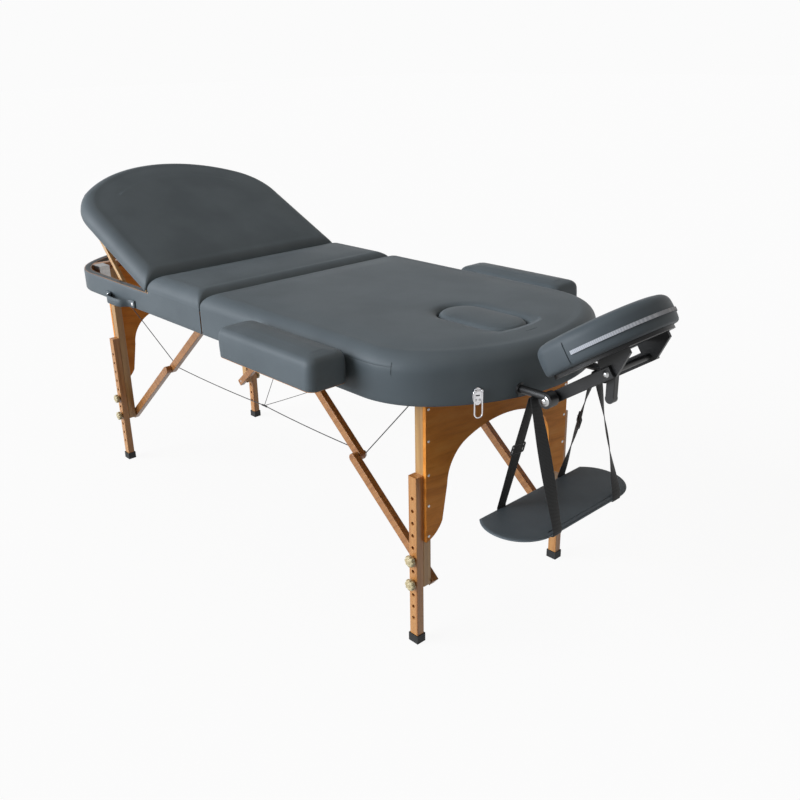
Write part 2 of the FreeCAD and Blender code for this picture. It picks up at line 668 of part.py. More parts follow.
def arch_panel(side):
    top = size.leg_hinge_z + size.arch_above
    x = side * (leg_x + size.leg_size / 2)
    knee = (size.arch_knee_y, size.arch_knee_z)
    toe = (upper_outer, size.arch_toe_z)
    toe_mid_y = (toe[0] + knee[0]) / 2 - (toe[0] - knee[0]) * size.arch_toe_bow
    toe_mid_z = (toe[1] + knee[1]) / 2 - (knee[1] - toe[1]) * size.arch_toe_bow
    waist_mid_y = size.arch_turn_y + (size.arch_waist_y - size.arch_turn_y) * size.arch_waist_bow
    waist_mid_z = size.arch_waist_z + (size.arch_turn_z - size.arch_waist_z) * size.arch_waist_bow

    def at(y, z):
        return x, y, z

    edges = [line(at(-upper_outer, top), at(-upper_outer, size.arch_toe_z))]
    left = [
        ("arc", (-toe[0], toe[1]), (-toe_mid_y, toe_mid_z), (-knee[0], knee[1])),
        ("line", (-knee[0], knee[1]), (-size.arch_waist_y, size.arch_waist_z)),
        ("arc", (-size.arch_waist_y, size.arch_waist_z), (-waist_mid_y, waist_mid_z),
         (-size.arch_turn_y, size.arch_turn_z)),
    ]
    right = [(kind, *[(-y, z) for y, z in reversed(points)]) for kind, *points in reversed(left)]
    crown = [("arc", (-size.arch_turn_y, size.arch_turn_z), (0, size.arch_crown_z),
              (size.arch_turn_y, size.arch_turn_z))]
    for kind, *points in left + crown + right:
        maker = arc if kind == "arc" else line
        edges.append(maker(*[at(*point) for point in points]))
    edges.append(line(at(upper_outer, size.arch_toe_z), at(upper_outer, top)))
    edges.append(line(at(upper_outer, top), at(-upper_outer, top)))
    return Part.Face(Part.Wire(edges)).extrude(vector(side * size.arch_thick, 0, 0))


for end, side in ends.items():
    uppers = []
    bolts = []
    for name, hand in hands.items():
        tag = f"{end}_{name}"
        y_text = (upper_inner_text, upper_outer_text)
        body = leg_box(f"{tag}_upper_body", side, hand, y_text,
                       ("upper_bottom", "leg_hinge_z + leg_size / 2"))
        tools = [leg_bore(f"{tag}_hinge_bore", side, hand, "leg_pin + pin_fit", y_text, "leg_hinge_z")]
        blind_text = (upper_inner_text, f"{upper_inner_text} + bolt_depth")
        tools.append(leg_bore(f"{tag}_bolt_bore", side, hand, "brace_pin", blind_text, bolt_z_text))
        stud_text = (f"{upper_outer_text} - stud_depth - pin_fit", upper_outer_text)
        for level, height in stud_heights.items():
            tools.append(leg_bore(f"{tag}_{level}_bore", side, hand, "stud_bore", stud_text, height))
        uppers.append(less(f"{tag}_upper", eased(f"{tag}_upper_eased", body), tools))
        bolt_text = (brace_inner_text, f"{upper_inner_text} + bolt_depth")
        bolts.append(leg_bore(f"{tag}_bolt", side, hand, "brace_pin", bolt_text, bolt_z_text))
    keep(f"{end}_upper_legs", set_of(f"{end}_upper_legs", uppers))
    keep(f"{end}_leg_bolts", set_of(f"{end}_leg_bolts", bolts))
    keep(f"{end}_arch_panel", placed(f"{end}_arch_panel", arch_panel(side)))

hole_bores = [f"slide_top - hole_first - {index} * hole_pitch" for index in range(int(size.hole_count))]
for end, side in ends.items():
    for name, hand in hands.items():
        tag = f"{end}_{name}"
        y_text = (f"{leg_outer_text} - slide_wide", leg_outer_text)
        body = leg_box(f"{tag}_slide_body", side, hand, y_text, ("slide_bottom", "slide_top"))
        tools = [leg_bore(f"{tag}_hole_{index}", side, hand, "hole_radius", y_text, height)
                 for index, height in enumerate(hole_bores)]
        keep(f"{tag}_sliding_leg", less(f"{tag}_slide", eased(f"{tag}_slide_eased", body), tools))
        cap_x = (f"{leg_text} - leg_size / 2 - foot_wall", f"{leg_text} + leg_size / 2 + foot_wall")
        cap_y = (f"{leg_outer_text} - slide_wide - foot_wall", f"{leg_outer_text} + foot_wall")
        cap = block(f"{tag}_cap", flipped(cap_x, side), flipped(cap_y, hand), ("0", "foot_high"))
        hollow = leg_box(f"{tag}_cap_hollow", side, hand, y_text, ("slide_bottom", "foot_high"))
        keep(f"{tag}_rubber_foot", less(f"{tag}_foot", cap, [hollow]))
        for level, height in stud_heights.items():
            knob_text = (f"{leg_outer_text} + seat_gap", f"{leg_outer_text} + seat_gap + knob_thick")
            disc = leg_bore(f"{tag}_{level}_disc", side, hand, "knob_radius", knob_text, height)
            flutes = []
            for index in range(int(size.knob_flutes)):
                turn = f"{index} * 360 / knob_flutes"
                flute = doc.addObject("Part::Cylinder", f"{tag}_{level}_flute_{index}")
                flute.Placement.Rotation = FreeCAD.Rotation(vector(1, 0, 0), -90)
                low, high = flipped(knob_text, hand)
                flute.setExpression("Radius", full("knob_flute"))
                flute.setExpression("Height", full(f"({high}) - ({low})"))
                degrees = full(turn)
                flute.setExpression("Placement.Base.x", full(f"fold_x + {side} * {leg_text}")
                                    + f" + Sizes.knob_radius * cos({degrees} * 1 deg)")
                flute.setExpression("Placement.Base.y", full(low))
                flute.setExpression("Placement.Base.z", full(height)
                                    + f" + Sizes.knob_radius * sin({degrees} * 1 deg)")
                flutes.append(flute)
            star = less(f"{tag}_{level}_star", disc, flutes)
            stud_text = (f"{upper_outer_text} - stud_depth", f"{leg_outer_text} + seat_gap")
            stud = leg_bore(f"{tag}_{level}_stud", side, hand, "stud_radius", stud_text, height)
            keep(f"{tag}_{level}_knob", joined(f"{tag}_{level}_knob", [star, stud]))

# Hangers, braces and the fold hinges
brace_outer = upper_inner - size.brace_gap
lower_inner = brace_outer - size.brace_thick
upper_brace_outer = lower_inner - size.brace_gap
upper_brace_inner = upper_brace_outer - size.brace_thick
bolt_point = (leg_x, size.leg_hinge_z - size.brace_leg_reach)
rail_point = (leg_x - size.brace_rail_reach, size.leg_hinge_z)
brace_line = math.hypot(bolt_point[0] - rail_point[0], bolt_point[1] - rail_point[1])
upper_share = (brace_line + size.brace_rail_reach - size.brace_leg_reach) / 2 / brace_line
elbow = tuple(rail_point[axis] + (bolt_point[axis] - rail_point[axis]) * upper_share for axis in (0, 1))


def mirrored_x(shape, side):
    return shape if side > 0 else shape.mirror(vector(0, 0, 0), vector(1, 0, 0))


fittings = {}
for end, side in ends.items():
    uppers = []
    lowers = []
    bolts = []
    hangers = []
    for hand in hands.values():
        low, high = y_span(hand, upper_brace_inner, upper_brace_outer)
        upper = bar(rail_point, elbow, size.brace_wide, low, high, size.brace_wide / 2, 0)
        upper = upper.fuse(round_end(elbow, size.brace_wide, low, high))
        upper = upper.cut(cross_pin(rail_point, size.brace_pin + size.pin_fit, low, high))
        uppers.append(upper.cut(cross_pin(elbow, size.brace_pin, low, high)))
        shank = cross_pin(elbow, size.brace_pin, low, high)
        inner_side = y_span(hand, upper_brace_inner - size.elbow_head, upper_brace_inner)
        bolts.append(shank.fuse(cross_pin(elbow, size.elbow_bolt, *inner_side)))
        low, high = y_span(hand, lower_inner, brace_outer)
        lower = bar(bolt_point, elbow, size.brace_wide, low, high, size.brace_tail, 0)
        lower = lower.fuse(round_end(elbow, size.brace_wide, low, high))
        lowers.append(lower.cut(cross_pin(bolt_point, size.brace_pin + size.pin_fit, low, high)))
        hanger_low = upper_outer + size.seat_gap
        hanger_y = y_span(hand, hanger_low, hanger_low + size.hanger_thick)
        hanger = Part.makeBox(size.hanger_wide / 2 + size.beam_gap, size.hanger_thick,
                              rail_top - size.leg_hinge_z + size.hanger_drop,
                              vector(leg_x - size.hanger_wide / 2, hanger_y[0],
                                     size.leg_hinge_z - size.hanger_drop))
        pin_y = y_span(hand, upper_inner, hanger_low + size.hanger_thick)
        hangers.append(hanger.fuse(cross_pin((leg_x, size.leg_hinge_z), size.leg_pin, *pin_y)))
        block_high = upper_brace_inner - size.seat_gap
        block_y = y_span(hand, block_high - size.brace_block, block_high)
        brace_block = Part.makeBox(size.brace_block, size.brace_block,
                                   rail_top - size.leg_hinge_z + size.hanger_drop,
                                   vector(rail_point[0] - size.brace_block / 2, block_y[0],
                                          size.leg_hinge_z - size.hanger_drop))
        pin_y = y_span(hand, block_high - size.brace_block, upper_brace_outer)
        hangers.append(brace_block.fuse(cross_pin(rail_point, size.brace_pin, *pin_y)))
    keep(f"{end}_upper_braces", placed(f"{end}_upper_braces", mirrored_x(Part.makeCompound(uppers), side)))
    keep(f"{end}_lower_braces", placed(f"{end}_lower_braces", mirrored_x(Part.makeCompound(lowers), side)))
    keep(f"{end}_elbow_bolts", placed(f"{end}_elbow_bolts", mirrored_x(Part.makeCompound(bolts), side)))
    fittings[end] = [mirrored_x(hanger, side) for hanger in hangers]


def hinge_half(side, starts, axis, knuckle, bore, leaf):
    # Knuckles of one side of a hinge, each with its leaf; starts are their low ends along Y.
    pieces = []
    for start in starts:
        tube = cross_pin(axis, knuckle, start, start + leaf["long"])
        low_x, high_x = leaf["x"]
        plate = Part.makeBox(high_x - low_x, leaf["long"], leaf["z"][1] - leaf["z"][0],
                             vector(low_x if side > 0 else -high_x, start, leaf["z"][0]))
        piece = tube.fuse(plate)
        pieces.append(piece.cut(cross_pin(axis, bore, start, start + leaf["long"])))
    return pieces


fold_axis = (0, size.rail_bottom - size.hinge_drop)
fold_leaf = {
    "long": size.hinge_long,
    "x": (size.hinge_pin + size.pin_fit, size.hinge_reach),
    "z": (size.rail_bottom - size.hinge_leaf, size.rail_bottom),
}
head_hinge = []
foot_hinge = []
for hand in hands.values():
    start = hand * (outer_half - size.hinge_side) - size.hinge_long * 1.5
    head_starts = (start, start + 2 * (size.hinge_long + size.seat_gap))
    foot_starts = (start + size.hinge_long + size.seat_gap,)
    for piece in hinge_half(1, head_starts, fold_axis, size.hinge_radius, size.hinge_pin, fold_leaf):
        head_hinge.append(piece)
    pin_high = head_starts[1] + size.hinge_long
    head_hinge.append(cross_pin(fold_axis, size.hinge_pin, head_starts[0], pin_high))
    foot_bore = size.hinge_pin + size.pin_fit
    foot_hinge += hinge_half(-1, foot_starts, fold_axis, size.hinge_radius, foot_bore, fold_leaf)
keep("head_fittings", placed("head_fittings", Part.makeCompound(fittings["head"] + head_hinge)))

# The backrest's hinge knuckles alternate between the middle deck and the board
back_axis = (-size.middle_length, deck_top)
web = {"long": size.back_hinge_long, "z": (rail_top, deck_top)}
deck_web = dict(web, x=(-size.middle_length + size.back_pin + size.pin_fit, -middle_end))
board_web = dict(web, x=(-board_root, -size.middle_length - size.back_pin - size.pin_fit))
deck_hinge = []
board_hinge = []
for hand in hands.values():
    start = hand * size.back_hinge_y - size.back_hinge_long * 1.5
    step = size.back_hinge_long + size.seat_gap
    deck_starts = (start, start + 2 * step)
    deck_hinge += hinge_half(1, deck_starts, back_axis, size.back_knuckle, size.back_pin, deck_web)
    deck_hinge.append(cross_pin(back_axis, size.back_pin, start, deck_starts[1] + size.back_hinge_long))
    board_hinge += hinge_half(1, (start + step,), back_axis, size.back_knuckle, size.back_pin + size.pin_fit,
                              board_web)
fittings["foot"] += foot_hinge + deck_hinge
keep("backrest_hinges", placed("backrest_hinges", raised(Part.makeCompound(board_hinge))))

# Armrests on pegs that slide out of the side rails
for name, hand in hands.items():
    inner_y = outer_half + size.arm_gap
    outer_y = inner_y + size.arm_wide
    arm_x = (size.arm_start, size.arm_start + size.arm_long)
    base_wire = rectangle_plan(arm_x, y_span(hand, inner_y, outer_y), size.arm_corner, 0, size.arm_bottom)
    base = prism(base_wire, size.arm_base)
    for place in arm_peg_places:
        span = y_span(hand, outer_half - size.band_thick - size.rail_wall, outer_y - size.arm_peg_short)
        base = base.fuse(cross_pin((place, arm_peg_z), size.arm_peg, *span))
    keep(f"armrest_{name}_base", placed(f"armrest_{name}_base", base.removeSplitter()))
    arm_rows = pad_rows(size.arm_pad, size.arm_edge, size.arm_draw, size.arm_crown, size.arm_run)
    plan = y_span(hand, inner_y, outer_y)
    arm_cushion = cushion(lambda inset, z: rectangle_plan(arm_x, plan, size.arm_corner, inset, z),
                          arm_rows, size.arm_bottom + size.arm_base)
    keep(f"armrest_{name}_pad", placed(f"armrest_{name}_pad", arm_cushion))

# Face cradle: sleeves in the end rail, yoke on two pegs, arms, plate, cushion and lever
sleeves = []
yoke = []
yoke_text = "half_length + yoke_out"
for name, hand in hands.items():
    start = "half_length - sleeve_in"
    mouth = "half_length - sleeve_mouth"
    across = (f"{hand} * peg_y", "peg_z")
    sleeve = rod(f"{name}_sleeve_body", "x", "sleeve_radius", (start, mouth), across)
    bore = rod(f"{name}_sleeve_bore", "x", "peg_radius + peg_fit", (start, mouth), across)
    sleeves.append(less(f"{name}_sleeve", sleeve, [bore]))
    yoke.append(rod(f"{name}_peg", "x", "peg_radius", (f"{leg_text} + beam_gap + seat_gap", yoke_text), across))
    disc_y = flipped(("peg_y - yoke_in - yoke_thick / 2", "peg_y - yoke_in + yoke_thick / 2"), hand)
    yoke.append(rod(f"{name}_yoke_disc", "y", "yoke_disc", disc_y, (yoke_text, "yoke_z")))
yoke.append(rod("yoke_rod", "y", "cradle_rod", ("-peg_y", "peg_y"), (yoke_text, "yoke_z")))
keep("cradle_sockets", set_of("cradle_sockets", sleeves))
keep("cradle_yoke", joined("cradle_yoke", yoke))

yoke_point = (size.half_length + size.yoke_out, size.yoke_z)
cradle_elbow = turned((yoke_point[0] + size.arm_reach, size.yoke_z), yoke_point, size.cradle_tilt)
arm_outer = size.peg_y - size.yoke_in - size.yoke_thick / 2 - size.arm_in
arm_inner = arm_outer - size.arm_bar_thick
bracket_outer = arm_inner - size.seat_gap
arms = []
for hand in hands.values():
    low, high = y_span(hand, arm_inner, arm_outer)
    arms.append(bar(yoke_point, cradle_elbow, size.arm_bar, low, high, size.arm_bar / 2, size.arm_bar / 2))
rod_bore = size.cradle_rod + size.pin_fit
arm_pair = arms[0].fuse(arms[1]).cut(cross_pin(yoke_point, rod_bore, -size.peg_y, size.peg_y))
arm_pair = arm_pair.fuse(cross_pin(cradle_elbow, size.cradle_rod, -arm_outer, arm_outer))
keep("cradle_arms", placed("cradle_arms", arm_pair))

# The cushion and plate are drawn flat about the cushion's middle, then tilted about it
cushion_middle = turned((cradle_elbow[0] - size.elbow_along, cradle_elbow[1] + size.elbow_below),
                        cradle_elbow, size.cradle_tilt)


def tilted(shape):
    shape = shape.translate(vector(cushion_middle[0], 0, cushion_middle[1]))
    return shape.rotate(vector(cushion_middle[0], 0, cushion_middle[1]), vector(0, 1, 0), -size.cradle_tilt)


plate = prism(horseshoe_plan(size.plate_inset, -size.plate_thick), size.plate_thick)
flat_elbow = (size.elbow_along, -size.elbow_below)
lug = size.arm_bar / 2
for hand in hands.values():
    low, high = y_span(hand, bracket_outer - size.bracket_thick, bracket_outer)
    corners = [
        (flat_elbow[0] - lug, flat_elbow[1] - lug),
        (flat_elbow[0] + lug, flat_elbow[1] - lug),
        (size.bracket_end, -size.plate_thick - lug),
        (size.bracket_end, -size.plate_thick),
        (flat_elbow[0] - lug, -size.plate_thick),
    ]
    points = [vector(x, low, z) for x, z in corners]
    side_plate = Part.Face(Part.makePolygon(points + points[:1])).extrude(vector(0, high - low, 0))
    plate = plate.fuse(side_plate)
plate = plate.cut(cross_pin(flat_elbow, rod_bore, -size.peg_y, size.peg_y))
keep("cradle_plate", placed("cradle_plate", tilted(plate)))
cushion_run = (size.cushion_radius - size.cushion_hole) / 2 - size.cushion_edge - size.cushion_edge / 2
cushion_rows = pad_rows(size.cushion_thick, size.cushion_edge, size.cushion_draw, size.cushion_crown,
                        cushion_run)
keep("cradle_cushion", placed("cradle_cushion", tilted(cushion(horseshoe_plan, cushion_rows, 0))))

lever_low = -size.lever_y - size.lever_thick / 2
lever_tip = (cradle_elbow[0], cradle_elbow[1] - size.lever_long + size.lever_wide / 2)
lever = bar(cradle_elbow, lever_tip, size.lever_wide, lever_low, lever_low + size.lever_thick, 0, 0)
for point in (cradle_elbow, lever_tip):
    lever = lever.fuse(cross_pin(point, size.lever_wide / 2, lever_low, lever_low + size.lever_thick))
lever = lever.cut(cross_pin(cradle_elbow, rod_bore, lever_low, lever_low + size.lever_thick))
keep("cradle_lever", placed("cradle_lever", lever))

# Sling: a padded shelf hung from the yoke's pegs by two pairs of straps
sling_x = size.half_length + size.sling_out
shelf_back_x = sling_x - size.shelf_deep / 2
shelf_front_x = sling_x + size.shelf_deep / 2


def shelf_plan(inset, z):
    back = size.shelf_back / 2 - inset
    wide = size.shelf_wide / 2 - inset
    front = size.shelf_front / 2 - inset
    low_x = shelf_back_x + inset
    high_x = shelf_front_x - inset
    edges = [
        line((low_x, back, z), (low_x, -back, z)),
        arc((low_x, -back, z), (sling_x, -wide, z), (high_x, -front, z)),
        line((high_x, -front, z), (high_x, front, z)),
        arc((high_x, front, z), (sling_x, wide, z), (low_x, back, z)),
    ]
    return Part.Wire(edges)


shelf_rows = pad_rows(size.shelf_thick, size.shelf_edge, size.shelf_draw, size.shelf_crown, size.shelf_edge)
shelf = cushion(shelf_plan, shelf_rows, size.shelf_top - size.shelf_thick)
keep("sling_shelf", placed("sling_shelf", shelf))
straps = []
loop_radius = size.peg_radius + size.loop_gap
loop_outer = loop_radius + size.strap_thick
half_strap = size.strap_wide / 2
shelf_under = size.shelf_top - size.shelf_thick
strap_head = size.peg_z - loop_radius - size.strap_thick / 2
for hand in hands.values():
    strap_low = hand * size.peg_y - half_strap
    peg = vector(sling_x - size.loop_wide / 2, hand * size.peg_y, size.peg_z)
    loop = Part.makeCylinder(loop_outer, size.loop_wide, peg, vector(1, 0, 0))
    loop = loop.cut(Part.makeCylinder(loop_radius, size.loop_wide, peg, vector(1, 0, 0)))
    for sign, foot_x in ((-1, shelf_back_x), (1, shelf_front_x)):
        outer_x = foot_x + sign * size.strap_thick
        corners = [
            (sling_x - sign * size.loop_wide / 2, strap_head),
            (sling_x + sign * size.loop_wide / 2, strap_head),
            (outer_x, size.shelf_top),
            (outer_x, shelf_under - size.strap_thick),
            (foot_x, shelf_under - size.strap_thick),
            (foot_x, size.shelf_top),
        ]
        points = [vector(x, strap_low, z) for x, z in corners]
        webbing = Part.Face(Part.makePolygon(points + points[:1])).extrude(vector(0, size.strap_wide, 0))
        loop = loop.fuse(webbing)
    tread = Part.makeBox(size.shelf_deep + size.strap_thick, size.strap_wide, size.strap_thick,
                         vector(shelf_back_x - size.strap_thick / 2, strap_low, shelf_under - size.strap_thick))
    straps.append(loop.fuse(tread).removeSplitter())
keep("sling_straps", placed("sling_straps", Part.makeCompound(straps)))

# Latches: a plate with ears on the head end, a hanging bail, and a keeper on the foot end
latch_angle = math.degrees(math.asin(size.latch_y / end_radius))
latch_radius = end_radius + size.latch_gap
latch_top = size.latch_z + size.latch_high / 2


def on_end(shape, hand):
    # A piece drawn on the middle of the head end, moved round to the latch's place.
    return shape.rotate(vector(end_centre, 0, 0), vector(0, 0, 1), hand * latch_angle)


plates = []
keepers = []
ear_z = latch_top - size.bail_hole * 2
ear_x = end_centre + latch_radius + size.latch_thick + size.bail_hole - size.bail_sink
for name, hand in hands.items():
    base_x = end_centre + latch_radius
    plate_box = Part.makeBox(size.latch_thick, size.latch_wide, size.latch_high,
                             vector(base_x, -size.latch_wide / 2, size.latch_z - size.latch_high / 2))
    ear_half = size.bail_wide / 4
    ear = cross_pin((ear_x, ear_z), size.bail_hole, -ear_half, ear_half)
    ear = ear.cut(cross_pin((ear_x, ear_z), size.bail_wire + size.pin_fit, -ear_half, ear_half))
    plates.append(on_end(plate_box.fuse(ear), hand))
    keeper = Part.makeBox(size.latch_thick, size.latch_wide, size.latch_high / 2,
                          vector(base_x, -size.latch_wide / 2, size.latch_z - size.latch_high / 4))
    keepers.append(mirrored_x(on_end(keeper, hand), -1))
    half_bail = size.bail_wide / 2
    low_z = ear_z - size.bail_long + half_bail
    wire = size.bail_wire
    top_rod = cross_pin((ear_x, ear_z), wire, -half_bail, half_bail)
    legs = [Part.makeCylinder(wire, ear_z - low_z, vector(ear_x, sign * half_bail, low_z)) for sign in (-1, 1)]
    knees = [Part.makeSphere(wire, vector(ear_x, sign * half_bail, ear_z)) for sign in (-1, 1)]
    ring = Part.makeTorus(half_bail, wire, vector(ear_x, 0, low_z), vector(1, 0, 0))
    lower_half = Part.makeBox(wire * 4, size.bail_wide * 2, size.bail_wide * 2,
                              vector(ear_x - wire * 2, -size.bail_wide, low_z - size.bail_wide * 2))
    bail = top_rod.fuse(legs + knees + [ring.common(lower_half)])
    keep(f"latch_bail_{name}", placed(f"latch_bail_{name}", on_end(bail, hand)))
keep("latch_plates", placed("latch_plates", Part.makeCompound(plates)))
keep("foot_fittings", placed("foot_fittings", Part.makeCompound(fittings["foot"] + keepers)))

# Carry handle: a flat strap bowed out from the near side band
handle_end = size.handle_start + size.handle_long
handle_mid = size.handle_start + size.handle_long / 2
band_y = -outer_half
bow_y = band_y - size.handle_bow - size.handle_thick
outline = [
    line((-size.handle_start, band_y, 0), (-size.handle_start - size.handle_tab, band_y, 0)),
    line((-size.handle_start - size.handle_tab, band_y, 0),
         (-size.handle_start - 2 * size.handle_tab, bow_y + size.handle_thick, 0)),
    line((-size.handle_start - 2 * size.handle_tab, bow_y + size.handle_thick, 0),
         (-handle_end + 2 * size.handle_tab, bow_y + size.handle_thick, 0)),
    line((-handle_end + 2 * size.handle_tab, bow_y + size.handle_thick, 0),
         (-handle_end + size.handle_tab, band_y, 0)),
    line((-handle_end + size.handle_tab, band_y, 0), (-handle_end, band_y, 0)),
    line((-handle_end, band_y, 0), (-handle_end, band_y - size.handle_thick, 0)),
    line((-handle_end, band_y - size.handle_thick, 0),
         (-handle_end + size.handle_tab, band_y - size.handle_thick, 0)),
    line((-handle_end + size.handle_tab, band_y - size.handle_thick, 0),
         (-handle_end + 2 * size.handle_tab, bow_y, 0)),
    line((-handle_end + 2 * size.handle_tab, bow_y, 0), (-size.handle_start - 2 * size.handle_tab, bow_y, 0)),
    line((-size.handle_start - 2 * size.handle_tab, bow_y, 0),
         (-size.handle_start - size.handle_tab, band_y - size.handle_thick, 0)),
    line((-size.handle_start - size.handle_tab, band_y - size.handle_thick, 0),
         (-size.handle_start, band_y - size.handle_thick, 0)),
    line((-size.handle_start, band_y - size.handle_thick, 0), (-size.handle_start, band_y, 0)),
]
handle_face = Part.Face(Part.Wire(outline))
handle = handle_face.extrude(vector(0, 0, size.handle_wide)).translate(vector(0, 0, size.handle_z))
keep("carry_handle", placed("carry_handle", handle))


# Cables: one down each side from leg to elbow, ferrule, elbow and leg, and one across
def taut(points, radius, bend):
    # A round cable pulled straight between its points, bent round each by an arc.
    edges = []
    last = vector(*points[0])
    for before, corner, after in zip(points, points[1:], points[2:]):
        corner = vector(*corner)
        inward = (vector(*before) - corner).normalize()
        outward = (vector(*after) - corner).normalize()
        half_turn = (math.pi - inward.getAngle(outward)) / 2
        cut_back = bend * math.tan(half_turn)
        start = corner + inward * cut_back
        end = corner + outward * cut_back
        bisector = (inward + outward).normalize()
        middle = corner + bisector * (bend / math.cos(half_turn) - bend)
        edges.append(Part.LineSegment(last, start).toShape())
        edges.append(Part.Arc(start, middle, end).toShape())
        last = end
    edges.append(Part.LineSegment(last, vector(*points[-1])).toShape())
    path = Part.Wire(edges)
    heading = (vector(*points[1]) - vector(*points[0])).normalize()
    ring = Part.Wire(Part.makeCircle(radius, vector(*points[0]), heading))
    tube = path.makePipeShell([ring], True, False)
    print("cable", round(path.Length, 1), "long, volume share",
          round(tube.Volume / (math.pi * radius ** 2 * path.Length), 4))
    return tube


cables = []
ties = []
for hand in hands.values():
    cable_end = leg_x - size.leg_size / 2 - size.cable_gap
    cable_y = upper_brace_inner - size.elbow_head - size.cable_radius - size.cable_gap
    anchor_y = hand * (upper_inner + upper_outer) / 2
    route = [
        (cable_end, anchor_y, size.cable_top_z),
        (elbow[0], hand * cable_y, elbow[1]),
        (size.ferrule_x, hand * size.ferrule_y, size.ferrule_z),
        (-elbow[0], hand * cable_y, elbow[1]),
        (-cable_end, anchor_y, size.cable_top_z),
    ]
    cables.append(taut(route, size.cable_radius, size.cable_bend))
    ferrule = vector(size.ferrule_x, hand * size.ferrule_y, size.ferrule_z)
    anchor = vector(size.fold_gap + size.ferrule_radius, hand * size.lift_y, size.rail_bottom)
    rise = anchor - ferrule
    start = ferrule + rise.normalize() * (size.ferrule_radius + size.cable_radius) / 2
    ties.append(Part.makeCylinder(size.cord_radius, (anchor - start).Length, start, anchor - start))
    sleeve_start = ferrule - vector(size.ferrule_long / 2, 0, 0)
    sleeve = Part.makeCylinder(size.ferrule_radius, size.ferrule_long, sleeve_start, vector(1, 0, 0))
    bore_radius = size.cable_radius + size.seat_gap
    bore = Part.makeCylinder(bore_radius, size.ferrule_long, sleeve_start, vector(1, 0, 0))
    ties.append(sleeve.cut(bore))
tie_y = size.ferrule_y - (size.ferrule_radius + size.cable_radius) / 2
tie_start = vector(size.ferrule_x, -tie_y, size.ferrule_z)
tie = Part.makeCylinder(size.cord_radius, 2 * tie_y, tie_start, vector(0, 1, 0))
cables.append(tie.fuse(ties))
keep("cables", placed("cables", Part.makeCompound(cables)))

doc.recompute()
failed = [piece.Label for piece in doc.Objects if {"Invalid", "Error"} & set(piece.State)]
for label, piece in nodes.items():
    if piece.Shape.isNull() or not piece.Shape.isValid():
        failed.append(label)
if failed:
    raise RuntimeError(f"These pieces did not build: {failed}")
os.makedirs("parts", exist_ok=True)
for label, piece in nodes.items():
    piece.Shape.exportStep(f"parts/{label}.step")
print(len(nodes), "nodes")
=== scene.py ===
import bpy
import bmesh
import math
import numpy as np
from mathutils import Matrix, Quaternion, Vector


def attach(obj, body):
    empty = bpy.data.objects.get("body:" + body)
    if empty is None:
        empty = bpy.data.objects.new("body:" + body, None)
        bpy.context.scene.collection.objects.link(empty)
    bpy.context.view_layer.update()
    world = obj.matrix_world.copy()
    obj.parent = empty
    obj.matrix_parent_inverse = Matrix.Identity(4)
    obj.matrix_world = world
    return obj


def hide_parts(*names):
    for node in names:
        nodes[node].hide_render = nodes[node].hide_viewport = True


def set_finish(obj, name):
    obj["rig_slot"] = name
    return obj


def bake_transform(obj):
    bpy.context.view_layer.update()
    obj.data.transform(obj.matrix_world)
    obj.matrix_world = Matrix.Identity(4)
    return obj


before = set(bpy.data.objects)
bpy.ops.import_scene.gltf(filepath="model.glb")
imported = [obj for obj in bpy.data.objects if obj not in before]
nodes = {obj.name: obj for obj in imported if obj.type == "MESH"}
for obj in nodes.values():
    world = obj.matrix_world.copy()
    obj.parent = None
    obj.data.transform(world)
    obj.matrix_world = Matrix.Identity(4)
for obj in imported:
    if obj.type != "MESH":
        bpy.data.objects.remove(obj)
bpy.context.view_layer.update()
scene = bpy.context.scene
scene.view_settings.view_transform = "Standard"
mm = 0.001
foldX = -121.3  # the fold line's place along X, in mm; drawings below start at the fold line
curveSteps = 8  # steps between the points of a drawn cord or seam
boxTurn = 6  # points in half a corner of a box-shaped cover
hands = {"near": -1, "far": 1}
ends = {"head": 1, "foot": -1}
print("frame loaded,", len(nodes), "nodes")

# Camera, fitted to the photograph
photoCamera = {"place": (1.8607, -1.484, 1.322), "turn": 47.42, "tilt": 21.49, "roll": -1.15,
               "lens": 39.38, "shift": (0.0083, -0.0053)}


def setCamera():
    turn = math.radians(photoCamera["turn"])
    tilt = math.radians(photoCamera["tilt"])
    back = Vector((math.sin(turn) * math.cos(tilt), -math.cos(turn) * math.cos(tilt), math.sin(tilt)))
    aim = (-back).to_track_quat("-Z", "Y") @ Quaternion((0, 0, 1), math.radians(photoCamera["roll"]))
    data = bpy.data.cameras.new("photoCamera")
    data.lens = photoCamera["lens"]
    data.shift_x, data.shift_y = photoCamera["shift"]
    holder = bpy.data.objects.new("photoCamera", data)
    holder.matrix_world = Matrix.Translation(photoCamera["place"]) @ aim.to_matrix().to_4x4()
    scene.collection.objects.link(holder)
    scene.camera = holder


setCamera()
print("camera set")


def linear(hexText, alpha=1.0):
    parts = [int(hexText[i:i + 2], 16) / 255 for i in (1, 3, 5)]
    return tuple(c / 12.92 if c <= 0.04045 else ((c + 0.055) / 1.055) ** 2.4 for c in parts) + (alpha,)


def addNode(tree, kind, inputs=None, stops=None, **settings):
    node = tree.nodes.new("ShaderNode" + kind)
    for key, value in settings.items():
        setattr(node, key, value)
    for socket, value in (inputs or {}).items():
        if isinstance(value, bpy.types.NodeSocket):
            tree.links.new(value, node.inputs[socket])
        else:
            node.inputs[socket].default_value = value
    for count, (place, hexText) in enumerate(stops or []):
        ramp = node.color_ramp.elements
        element = ramp[count] if count < 2 else ramp.new(place)
        element.position = place
        element.color = linear(hexText)
    return node


def newFinish(name, **sockets):
    finish = bpy.data.materials.new(name)
    finish.use_nodes = True
    tree = finish.node_tree
    shader = tree.nodes["Principled BSDF"]
    for socket, value in sockets.items():
        shader.inputs[socket.replace("_", " ")].default_value = value
    place = addNode(tree, "TexCoord").outputs["Object"]
    return finish, tree, shader, place


